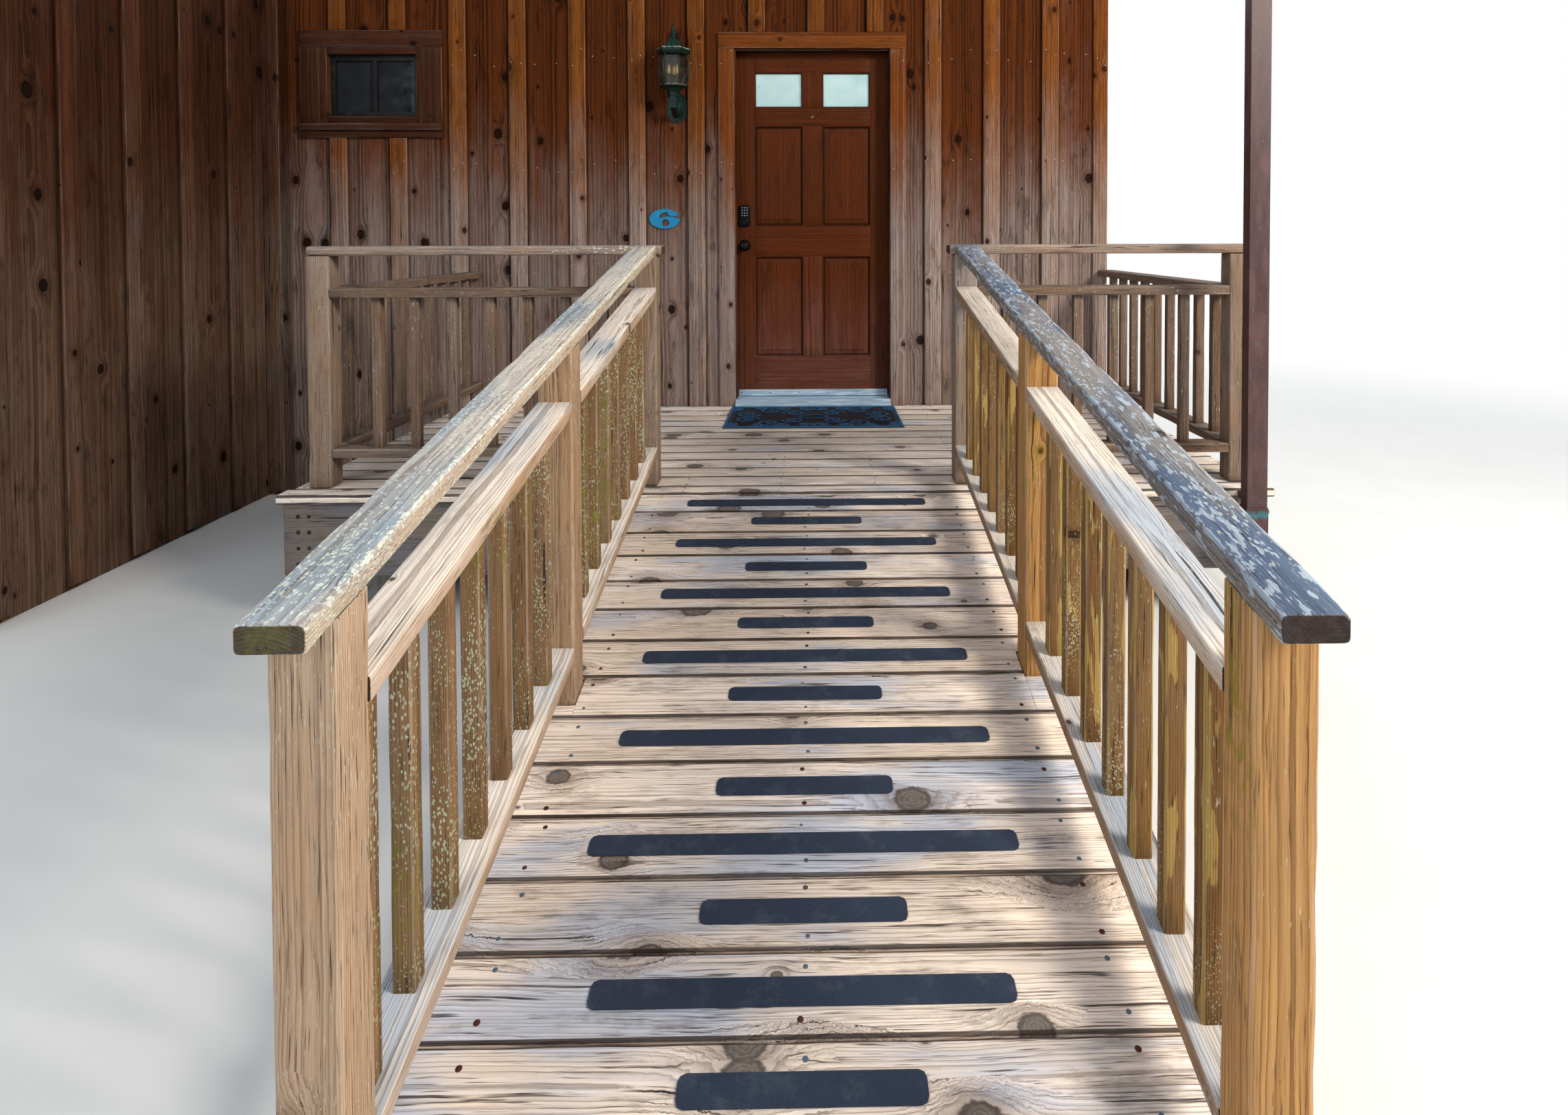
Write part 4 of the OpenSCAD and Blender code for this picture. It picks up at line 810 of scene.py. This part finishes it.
panels = new_boards()
panel_w = (lx1 - lx0 - 2 * stile - mullion) / 2
lip = [(-0.001, 0.0008, 0), (0.001, -0.0008, 0), (0.004, 0.0002, 0.1), (0.006, 0.0030, 0.5), (0.0085, 0.0060, 0.8),
       (0.0105, 0.0075, 1), (0.0105, 0.0107, 1)]
field = [(0.0105, 0.0107, 1), (0.0140, 0.0100, 0.9), (0.020, 0.0089, 0.12), (0.040, 0.0050, 0),
         (0.0415, 0.0030, 0.5), (0.0445, 0.0022, 0)]
for face_y, out in ((ly0, -1), (ly1, 1)):
    for s in (-1, 1):
        x = door_x + s * (panel_w + mullion) / 2
        for i, (z0, z1) in enumerate(opens):
            z = lz0 + (z0 + z1) / 2
            stepped(panels, x, z, panel_w, z1 - z0, lip, face_y, out, 1660 + i, False)
            if i < 2:
                stepped(panels, x, z, panel_w, z1 - z0, field, face_y, out, 1670 + i * 2 + s, True)
put(panels, "door_panels_dressed", door_wood, "door_wood", "door_panels", body="door", smooth=False)

# Frosted glass of the door's lights, pale with a few dark specks, and the window's clear, dusty panes, painted dark
# for the shade of the room behind them.
frosted = Recipe("frosted glass")
spot = frosted.spot()
cloud = spot.noise(9.0, 5.0)
speck = spot.noise(70.0).level(0.70, 0.74)
tint = (speck * 0.6).mix(cloud.mix(tone(.66, .80, .82), tone(.84, .93, .92)), tone(.40, .48, .48))
repaint(frosted.dress(tint, cloud.level(0.3, 0.7, 0.28, 0.45), cloud, 0.15, 0.001, Transmission_Weight=0.35),
        "door_glass")
clear = Recipe("window glass")
dust = clear.spot().noise(14.0, 5.0)
repaint(clear.dress(dust.mix(tone(.10, .12, .14), tone(.20, .22, .24)), dust.level(0.3, 0.7, 0.04, 0.16),
                    Transmission_Weight=0.25), "window_glass")


# Metals and paints: a base colour with wear, dust in the dips and a fine texture, read from the object's own
# space. First the parts that keep their solids: threshold, sweep, hinges, window frame and pier blocks.
def metal(name, base, worn, metallic, rough, scale=30.0, wear=0.4, bump=0.3, streak=None, shine=0.5):
    recipe, base, worn = Recipe(name), tone(*base), tone(*worn)
    spot = recipe.spot().stretch(*streak) if streak else recipe.spot()
    cloud, fine = spot.noise(scale, 6.0, 0.65), spot.noise(scale * 14)
    colour = cloud.reach(0.62 - wear * 0.3, 0.72 - wear * 0.2).mix(base, worn)
    return recipe.dress((fine * 0.25).mix(colour, worn), cloud.level(0.25, 0.75, rough - 0.1, rough + 0.14), fine,
                        bump, Metallic=metallic, Specular_IOR_Level=shine)


silver = metal("threshold aluminium", (.62, .74, .84), (.84, .90, .94), 0.45, 0.36, 8.0, 0.5, 0.15, (1.0, 14.0, 14.0))
brass = metal("hinge brass", (.52, .42, .24), (.34, .28, .18), 0.9, 0.4)
bronze = metal("window frame bronze", (.10, .085, .075), (.20, .17, .14), 0.6, 0.45, 20.0, 0.3, 0.2)
concrete = metal("concrete", (.56, .55, .52), (.42, .41, .38), 0.0, 0.88, 16.0, 0.5, 0.9)
repaint(silver, "door_threshold", "door_sweep")
repaint(brass, "door_hinges", "hinge_plates")
repaint(bronze, "window_sash")
repaint(concrete, "deck_piers")

# Rainwater pipe: thin plum paint over copper, chalky in places, with blue-green drips at the joint and on chips.
# It keeps its solid, brackets and all.
plum = Recipe("pipe paint")
spot = plum.spot()
joint_z = deck_top - 0.040
chalk, streak = spot.stretch(6.0, 6.0, 1.6).noise(4.0, 6.0, 0.7), spot.stretch(60.0, 60.0, 2.5).noise(1.0, 4.0)
colour = chalk.level(0.42, 0.70, 0.0, 0.8).mix(tone(.255, .150, .155), tone(.36, .235, .235))
colour = streak.level(0.55, 0.75, 0.0, 0.6).mix(colour, tone(.16, .095, .10))
seam = (joint_z - spot.axis(2) - streak * 0.05).math("ABSOLUTE").level(0.004, 0.018, 0.9, 0.0)
chip = spot.noise(95.0, 1.0).level(0.73, 0.76, 0.0, 0.9)
colour = seam.math("MAXIMUM", chip).mix(colour, tone(.16, .42, .45))
repaint(plum.dress(colour, chalk.level(0.3, 0.7, 0.38, 0.62), chalk, 0.3, 0.0008), "rainwater_pipe")

# Anti-slip strips: dark gritty tape, dusty and scuffed, paler where feet have worn it. The strips keep their
# solids, rounded corners and all.
tape = Recipe("gritty tape")
spot = tape.spot()
grit = spot.noise(900.0, 1.0)
scuff = spot.noise(16.0, 6.0, 0.7).reach(0.5, 0.7, 0.0, 0.55)
colour = scuff.mix(tone(.11, .165, .255), tone(.27, .31, .36))
colour = grit.level(0.6, 0.75, 0.0, 0.6).mix(colour, tone(.38, .37, .35))
repaint(tape.dress(colour, 0.78, grit, 0.6), "ramp_grip_strips")


# Knobs on both faces of the door, of a turned profile: pairs of radius and height spun round an axis. The same
# lathe turns the lock's key plate, the peephole, the lantern's roof and the nails.
def turned(mesh, profile, place, segments=40, flute=0.0, ribs=12):
    rings = []
    for r, h in profile:
        ring = []
        for j in range(segments):
            a = 2 * math.pi * j / segments
            rr = max(r, 0.00005) * (1 - flute * (0.5 - 0.5 * math.cos(ribs * a)))
            ring.append(mesh.verts.new(place @ Vector((rr * math.cos(a), rr * math.sin(a), h))))
        rings.append(ring)
    skin(mesh, rings)


black = metal("black fittings", (.006, .006, .01), (.03, .03, .04), 0.0, 0.26, 60.0, 0.15, 0.05, shine=0.2)
knobs = bmesh.new()
knob_x, knob_z = lx0 + 0.055, lz0 + 0.890
knob_line = [(0.033, 0.0), (0.0335, 0.003), (0.031, 0.0055), (0.0285, 0.0070), (0.028, 0.0090), (0.0145, 0.0110),
             (0.0125, 0.0180), (0.0128, 0.028), (0.018, 0.034), (0.0235, 0.039), (0.0265, 0.046), (0.027, 0.052),
             (0.0255, 0.058), (0.0215, 0.0625), (0.0150, 0.0650), (0.0142, 0.0642), (0.0085, 0.0642),
             (0.0078, 0.0655), (0.0004, 0.0657)]
to_front, to_back = Matrix.Rotation(math.radians(90), 4, "X"), Matrix.Rotation(math.radians(-90), 4, "X")
turned(knobs, knob_line, Matrix.Translation((knob_x, ly0, knob_z)) @ to_front, 48)
turned(knobs, knob_line, Matrix.Translation((knob_x, ly1, knob_z)) @ to_back, 48)
put(knobs, "door_knobs_dressed", black, "black_metal", "door_knobs", body="door")


# Keypad lock with twelve pale buttons over a key plate, a plain box indoors, and a brass peephole. The lock is
# made of pads with rounded corners and softened edges.
def pad(mesh, centre, w, h, deep, corner, out, soft=0.002):
    rings = []
    for inset, depth in ((0.0, 0.0), (0.0, deep - soft), (soft * 0.35, deep - soft * 0.3), (soft, deep)):
        r = max(corner - inset, 0.0001)
        turns = [(sx, sz, math.radians(a0 + 18 * k))
                 for sx, sz, a0 in ((1, 1, 0), (-1, 1, 90), (-1, -1, 180), (1, -1, 270)) for k in range(6)]
        rings.append([mesh.verts.new((centre[0] + sx * (w / 2 - corner) + r * math.cos(a), centre[1] + out * depth,
                                      centre[2] + sz * (h / 2 - corner) + r * math.sin(a))) for sx, sz, a in turns])
    skin(mesh, rings, out > 0, foot=False)


keypad = bmesh.new()
key_z, lock_w, lock_h = knob_z + 0.112 + 0.063, 0.065, 0.125
pad(keypad, (knob_x, ly0, key_z), lock_w, lock_h, 0.014, 0.014, -1, 0.004)
pad(keypad, (knob_x, ly0 - 0.0135, key_z + 0.022), 0.050, 0.068, 0.0035, 0.006, -1)
key_line = [(0.017, 0.0), (0.0165, 0.003), (0.014, 0.0055), (0.006, 0.006), (0.0058, 0.0052), (0.0003, 0.0052)]
turned(keypad, key_line, Matrix.Translation((knob_x, ly0 - 0.0138, key_z - 0.038)) @ to_front, 32)
pad(keypad, (knob_x, ly1, key_z), lock_w, lock_h, 0.023, 0.010, 1, 0.004)
put(keypad, "door_keypad_dressed", black, "black_metal", "door_keypad", body="door")
button_grey = metal("keypad buttons", (.62, .66, .70), (.48, .51, .55), 0.0, 0.4, 40.0, 0.2)
buttons = bmesh.new()
button_w, button_across, button_down = 0.0062, 0.0142, 0.0150
for row in range(4):
    for column in range(3):
        pad(buttons, (knob_x + (column - 1) * button_across, ly0 - 0.0168, key_z + 0.046 - row * button_down),
            button_w, button_w, 0.0019, 0.0028, -1, 0.0006)
put(buttons, "door_keypad_buttons", button_grey, "black_metal", body="door")
peep = bmesh.new()
peep_z = lz0 + 1.645
peep_line = [(0.0085, 0.0), (0.0090, 0.0012), (0.0082, 0.0026), (0.0062, 0.0030), (0.0052, 0.0022),
             (0.0048, 0.0008), (0.0003, 0.0012)]
turned(peep, peep_line, Matrix.Translation((door_x, ly0 + 0.0004, peep_z)) @ to_front, 28)
turned(peep, peep_line, Matrix.Translation((door_x, ly1 - 0.0004, peep_z)) @ to_back, 28)
put(peep, "door_peephole_dressed", brass, "hinge_metal", "door_peephole", body="door")

# Coach lantern: stepped plate and arm stay as made. The cage is worked up here, with six bowed bars, brim, fluted
# roof and stepped neck, then the worn lines on its rims, the candles and bulbs, and the glass.
verdigris = metal("verdigris", (.01, .032, .03), (.08, .33, .27), 0.1, 0.34, 70.0, 0.18, 0.6, shine=0.3)
repaint(verdigris, "lantern_bracket")
lamp_low, lamp_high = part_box("lantern_cage")
cage_z, brim_z, bars_h = lamp_low[2], 0.1735, 0.176
cage = bmesh.new()
at = Matrix.Translation(((lamp_low[0] + lamp_high[0]) / 2, (lamp_low[1] + lamp_high[1]) / 2, cage_z))
bar_outline = ((-0.0035, -0.003), (0.002, -0.0034), (0.0036, 0.0), (0.002, 0.0034), (-0.0035, 0.003))
for k in range(6):
    face = at @ Matrix.Rotation(math.radians(60 * k), 4, "Z")
    rings = []
    for i in range(17):
        h = bars_h * i / 16
        mid = 0.0705 + 0.0175 * math.sin(math.pi * min(1.0, h / bars_h)) ** 0.8
        rings.append([cage.verts.new(face @ Vector((mid + dr, dt, h))) for dr, dt in bar_outline])
    skin(cage, rings, foot=False, lid=False)
turned(cage, [(0.062, brim_z), (0.088, 0.1745), (0.0895, 0.178), (0.0965, 0.183), (0.0970, 0.187), (0.0945, 0.189),
              (0.0945, 0.197), (0.0970, 0.199), (0.0965, 0.204), (0.090, 0.208), (0.060, 0.2115),
              (0.050, 0.2120)], at, 6)
turned(cage, [(0.056, 0.2085), (0.0545, 0.214), (0.0520, 0.222), (0.0475, 0.234), (0.0405, 0.247), (0.031, 0.257),
              (0.0215, 0.2635), (0.0185, 0.2670)], at, 96, 0.10, 12)
neck = [(0.0185, 0.265)]
for k in range(4):
    z = 0.268 + k * 0.0085
    r = 0.0200 - k * 0.0010
    neck += [(r - 0.004, z), (r, z + 0.0025), (r, z + 0.0050), (r - 0.004, z + 0.0078)]
neck += [(0.0100, 0.305), (0.0145, 0.309), (0.0150, 0.313), (0.0090, 0.318), (0.0075, 0.322), (0.0100, 0.327),
         (0.0085, 0.333), (0.0050, 0.339), (0.0040, 0.345), (0.0022, 0.351), (0.0003, 0.3535)]
turned(cage, neck, at, 36)
cage_piece = put(cage, "lantern_cage_dressed", verdigris, "verdigris", "lantern_cage")
for face in cage_piece.data.polygons:
    if 0.172 < face.center.z - cage_z < 0.2125 and face.area > 0.0001:
        face.use_smooth = False
bare_metal = metal("worn lantern rim", (.66, .64, .58), (.12, .22, .20), 0.2, 0.5, 55.0, 0.55)
worn_rim = bmesh.new()
turned(worn_rim, [(0.0960, 0.1990), (0.0973, 0.2002), (0.0973, 0.2040), (0.0960, 0.2056), (0.0935, 0.2058)], at, 6)
turned(worn_rim, [(0.0705, -0.0008), (0.0727, 0.0004), (0.0727, 0.0048), (0.0690, 0.0060)], at, 6)
put(worn_rim, "lantern_worn_rims", bare_metal, "verdigris", smooth=False)
candle_white = metal("candle sleeve", (.40, .34, .24), (.22, .17, .11), 0.0, 0.45, 20.0, 0.3)
candles, bulbs = bmesh.new(), bmesh.new()
for k in range(3):
    a = math.radians(90 + 120 * k)
    place = at @ Matrix.Translation((0.026 * math.cos(a), 0.026 * math.sin(a), 0.001))
    turned(candles, [(0.013, 0.0), (0.013, 0.006), (0.0085, 0.010), (0.0085, 0.062), (0.0070, 0.064)], place, 20)
    turned(bulbs, [(0.0055, 0.063), (0.0085, 0.068), (0.0105, 0.078), (0.0098, 0.090), (0.0064, 0.103),
                   (0.0026, 0.114), (0.0003, 0.118)], place, 20)
turned(candles, [(0.050, 0.0), (0.048, 0.004), (0.010, 0.008), (0.008, 0.020), (0.0003, 0.022)], at, 24)
put(candles, "lantern_candles", candle_white, "verdigris")
# The bulbs are amber glass, and their faint glow is a painted warm glint, not a lit lamp.
amber = Recipe("candle bulb glass, painted glint")
spot = amber.spot()
amber_and_glint = spot.noise(60.0).mix(tone(.80, .56, .26), tone(.86, .74, .50))
amber.dress(amber_and_glint, 0.12, spot.noise(200.0), 0.1, 0.0003, Emission_Color=amber_and_glint, Emission_Strength=0.12,
            Transmission_Weight=0.3)
put(bulbs, "lantern_bulbs", amber.owner, "lantern_pane")
pane = Recipe("lantern glass")
film = pane.spot().noise(35.0, 4.0)
repaint(pane.dress(film.mix(tone(.92, .95, .93), tone(.78, .80, .76)), film.level(0.4, 0.7, 0.02, 0.18), film, 0.12,
                   Transmission_Weight=1.0, IOR=1.45), "lantern_glass")

# House number: a plain figure with blue paint, fixed to the wall beside the door. It keeps its solid and takes
# only its paint.
blue = metal("number paint", (.02, .47, .66), (.08, .56, .74), 0.0, 0.38, 12.0, 0.2, 0.1, shine=0.3)
repaint(blue, "house_number")

# Door mat: black rubber with raised scrolls of its own simple design, an oval ring in the middle and a plain
# border. The scrolls lie in one quarter and are mirrored into the others.
mat_low, mat_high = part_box("door_mat")
mat_mesh = bmesh.new()
mw, md = mat_high[0] - mat_low[0], mat_high[1] - mat_low[1]
mat_field, mat_relief = 0.0026, 0.0050
bin_w, bins = 0.02, {}
for cx, cy, r, way, spin in (
        (0.11, 0.09, 0.062, 1, 0.2), (0.235, 0.155, 0.070, -1, 2.6), (0.36, 0.07, 0.068, 1, 3.4),
        (0.30, 0.215, 0.036, 1, 0.5), (0.16, 0.215, 0.042, -1, 1.0), (0.425, 0.19, 0.040, -1, 2.2),
        (0.045, 0.205, 0.040, 1, 2.9)):
    for k in range(34):
        a, rr = spin + way * k * 0.30, r * (1 - k / 36)
        sx, sy = cx + rr * math.cos(a), cy + rr * math.sin(a)
        bins.setdefault((int(sx / bin_w), int(sy / bin_w)), []).append((sx, sy, 0.0098 - 0.00014 * k))
nx, ny = 216, 128
grid = []
for j in range(ny + 1):
    line = []
    for i in range(nx + 1):
        u, v = mw * i / nx, md * j / ny
        ax, ay = abs(u - mw / 2), abs(v - md / 2)
        ci, cj = int(ax / bin_w), int(ay / bin_w)
        best = min([1.0] + [math.hypot(ax - sx, ay - sy) / sw for bi in (ci - 1, ci, ci + 1)
                            for bj in (cj - 1, cj, cj + 1) for sx, sy, sw in bins.get((bi, bj), ())])
        edge, ring = min(mw / 2 - ax, md / 2 - ay), math.hypot(ax / 1.7, ay)
        relief = max(max(0.0, 1 - best * best) ** 0.5, 1.0 if 0.004 < edge < 0.016 else 0.0,
                     max(0.0, 1 - abs(edge - 0.026) / 0.004) ** 0.5, max(0.0, 1 - abs(ring - 0.045) / 0.005) ** 0.5)
        line.append(mat_mesh.verts.new((mat_low[0] + u, mat_low[1] + v, mat_low[2] + mat_field + mat_relief * relief
                                        - (0.0015 if edge < 0.002 else 0))))
    grid.append(line)
for j in range(ny):
    for i in range(nx):
        mat_mesh.faces.new((grid[j][i], grid[j][i + 1], grid[j + 1][i + 1], grid[j + 1][i]))
rim = grid[0] + [row[-1] for row in grid[1:]] + grid[-1][-2::-1] + [row[0] for row in grid[-2:0:-1]]
feet = [mat_mesh.verts.new((v.co.x, v.co.y, mat_low[2])) for v in rim]
for k in range(len(rim)):
    n = (k + 1) % len(rim)
    mat_mesh.faces.new((rim[n], rim[k], feet[k], feet[n]))
rubber = Recipe("mat rubber")
spot = rubber.spot()
dust = spot.noise(22.0, 6.0, 0.7)
# The raised tops are coloured a lighter blue than the near-black hollows: a painted sheen.
colour = spot.axis(2).level(deck_top + 0.003, deck_top + 0.0078).mix(tone(.0, .005, .015), tone(.15, .38, .55))
colour = dust.level(0.5, 0.75, 0.0, 0.3).mix(colour, tone(.10, .19, .28))
rubber.dress(colour, dust.level(0.3, 0.7, 0.42, 0.65), spot.noise(700.0), 0.3, 0.0005)
put(mat_mesh, "door_mat_dressed", rubber.owner, "mat_rubber", "door_mat")

# Nails: heads set on their spots by Geometry Nodes, each with its own turn, size and amount of rust. Then the
# spots themselves, on the ramp, the deck, the wall, the fascia and the door's sweep.
steel = Recipe("nail heads")
rust = steel.add("Attribute", out=2, attribute_name="rust", attribute_type="GEOMETRY")
pit = steel.spot().noise(500.0)
nail_steel = steel.dress((rust + pit * 0.3).level(0.6, 0.9).mix(tone(.36, .45, .52), tone(.34, .18, .11)),
                         pit.level(0.3, 0.7, 0.4, 0.7), pit, 0.4, 0.0003, Metallic=0.5)


def nail_set(name, spots, out, head_r, slot, seed, body="structure", material=nail_steel):
    head = bmesh.new()
    turned(head, [(head_r, -0.0006), (head_r, 0.0002), (head_r * 0.86, 0.0008), (head_r * 0.45, 0.0012),
                  (0.0003, 0.0013)], Matrix.Identity(4), 14)
    head_data = bpy.data.meshes.new(name + " head")
    head.to_mesh(head_data)
    head.free()
    given = {"Head": bpy.data.objects.new(name + " head", head_data), "Least size": 0.8, "Seed": seed}
    tree = bpy.data.node_groups.new(name + " nodes", "GeometryNodeTree")
    for word, kind in (("Geometry", "Geometry"), ("Head", "Object"), ("Least size", "Float"), ("Seed", "Int")):
        tree.interface.new_socket(word, in_out="INPUT", socket_type="NodeSocket" + kind)
    tree.interface.new_socket("Geometry", in_out="OUTPUT", socket_type="NodeSocketGeometry")

    def step(kind, ins, **settings):
        node = tree.nodes.new(kind)
        for word, value in settings.items():
            setattr(node, word, value)
        for key, value in ins.items():
            if isinstance(value, bpy.types.NodeSocket):
                tree.links.new(value, node.inputs[key])
            else:
                node.inputs[key].default_value = value
        return node.outputs

    def draw(least=0.0, most=1.0):
        return step("FunctionNodeRandomValue", {2: least, 3: most, "Seed": start["Seed"]}, data_type="FLOAT")[1]

    start = step("NodeGroupInput", {})
    head = step("GeometryNodeObjectInfo", {"Object": start["Head"]})["Geometry"]
    spin = step("ShaderNodeCombineXYZ", {2: draw(most=6.283)})[0]
    face = step("FunctionNodeAlignEulerToVector", {"Vector": out}, axis="Z")[0]
    roll = step("FunctionNodeRotateEuler", {0: face, 1: spin}, space="LOCAL")[0]
    heads = step("GeometryNodeInstanceOnPoints", {"Points": start["Geometry"], "Instance": head, "Rotation": roll,
                                                  "Scale": draw(start["Least size"])})[0]
    marked = step("GeometryNodeStoreNamedAttribute", {"Geometry": heads, "Name": "rust", "Value": draw()},
                  domain="INSTANCE")[0]
    real = step("GeometryNodeRealizeInstances", {0: marked})[0]
    step("NodeGroupOutput", {0: step("GeometryNodeSetMaterial", {"Geometry": real, "Material": material})[0]})
    data = bpy.data.meshes.new(name + " spots")
    data.from_pydata(spots, [], [])
    holder = bpy.data.objects.new(name + " spots", data)
    scene.collection.objects.link(holder)
    modifier = holder.modifiers.new("nails", "NODES")
    modifier.node_group = tree
    for item in tree.interface.items_tree:
        if item.in_out == "INPUT" and item.name in given:
            modifier[item.identifier] = given[item.name]
    bpy.context.view_layer.update()
    made = bpy.data.meshes.new_from_object(holder.evaluated_get(bpy.context.evaluated_depsgraph_get()))
    made.name = name
    bpy.data.objects.remove(holder)
    for face in made.polygons:
        face.use_smooth = len(face.vertices) == 4
    return place_piece(made, name, slot, body=body)


luck = random.Random(77)


def near_by(reach):
    return luck.uniform(-reach, reach)


spots = []
plank_nail_x, plank_nail_s = 0.562, 0.046
for i in range(plank_count):
    middle = i * plank_pitch + plank_gap / 2 + (plank_w - (top_cut if i == plank_count - 1 else 0)) / 2
    for x in (-plank_nail_x, 0.0, plank_nail_x):
        for s in (-1, 1):
            at = toe + up_ramp * (middle + s * plank_nail_s + near_by(0.006)) - off_ramp * 0.0012
            spots.append((x + near_by(0.008), at.y, at.z))
deck_nail_r = 0.0058
nail_set("ramp_plank_nails", spots, tuple(off_ramp), deck_nail_r, "decking", seed=3)
spots = []
nail_columns = [deck_x0 + 0.039 + k * (deck_x1 - deck_x0 - 0.078) / 10 for k in range(11)]
for i in range(rows):
    y = rows_y + (i + 0.5) * row_pitch + row_gap / 2
    spots += [(x + near_by(0.006), y + s * 0.038 + near_by(0.005), deck_top - 0.0016) for x in nail_columns
              for s in (-1, 1)]
spots += [(x + near_by(0.006), deck_y + 0.045 + s * 0.022, deck_top - 0.0012) for x in nail_columns
          for s in (-1, 1)]
nail_set("deck_nails", spots, (0, 0, 1), deck_nail_r, "decking", seed=4)
zinc = metal("galvanized nails", (.72, .74, .76), (.46, .40, .34), 0.2, 0.45, 300.0, 0.5)
nail_rows = (0.82, 1.30, 1.90, 2.52)
spots = [(x + w / 2 + s * w * 0.29 + near_by(0.005), wall_y - batten_t + 0.0006, z + near_by(0.05))
         for x, w, z0, z1 in spans for z in nail_rows if z0 + 0.05 < z < z1 - 0.05 for s in (-1, 1)]
spots += [(door_x + s * (case_in + case_w / 2) + t * 0.028, casing_low[1] + 0.0006, z + near_by(0.04))
          for s in (-1, 1) for z in nail_rows for t in (-1, 1)]
board_middles = (-0.824, -1.165, -1.507, -1.85, 0.90, 1.24, 1.56)
spots += [(x + t * 0.06 + near_by(0.01), wall_y + 0.0002, z + near_by(0.05)) for x in board_middles
          for z in nail_rows for t in (-1, 1)]
nail_set("wall_nails", spots, (0, -1, 0), 0.0034, "batten_wood", seed=5, material=zinc)
dark_screw = metal("dark screws", (.16, .13, .10), (.26, .22, .18), 0.7, 0.45)
spots = [(x - s * c * 0.042, deck_y + 0.0208, deck_top - thick - 0.05 - r * 0.062)
         for s, x in ((-1, deck_x0 + 0.075), (1, deck_x1 - 0.075)) for c in (0, 1) for r in range(4)]
nail_set("fascia_bolts", spots, (0, -1, 0), 0.0098, "framing", seed=6, material=dark_screw)
spots = [(lx0 + 0.03 + k * (lx1 - lx0 - 0.06) / 5, ly0 - 0.0037, lz0 + 0.018) for k in range(6)]
nail_set("door_sweep_screws", spots, (0, -1, 0), 0.0042, "threshold_metal", body="door", seed=7,
         material=dark_screw)
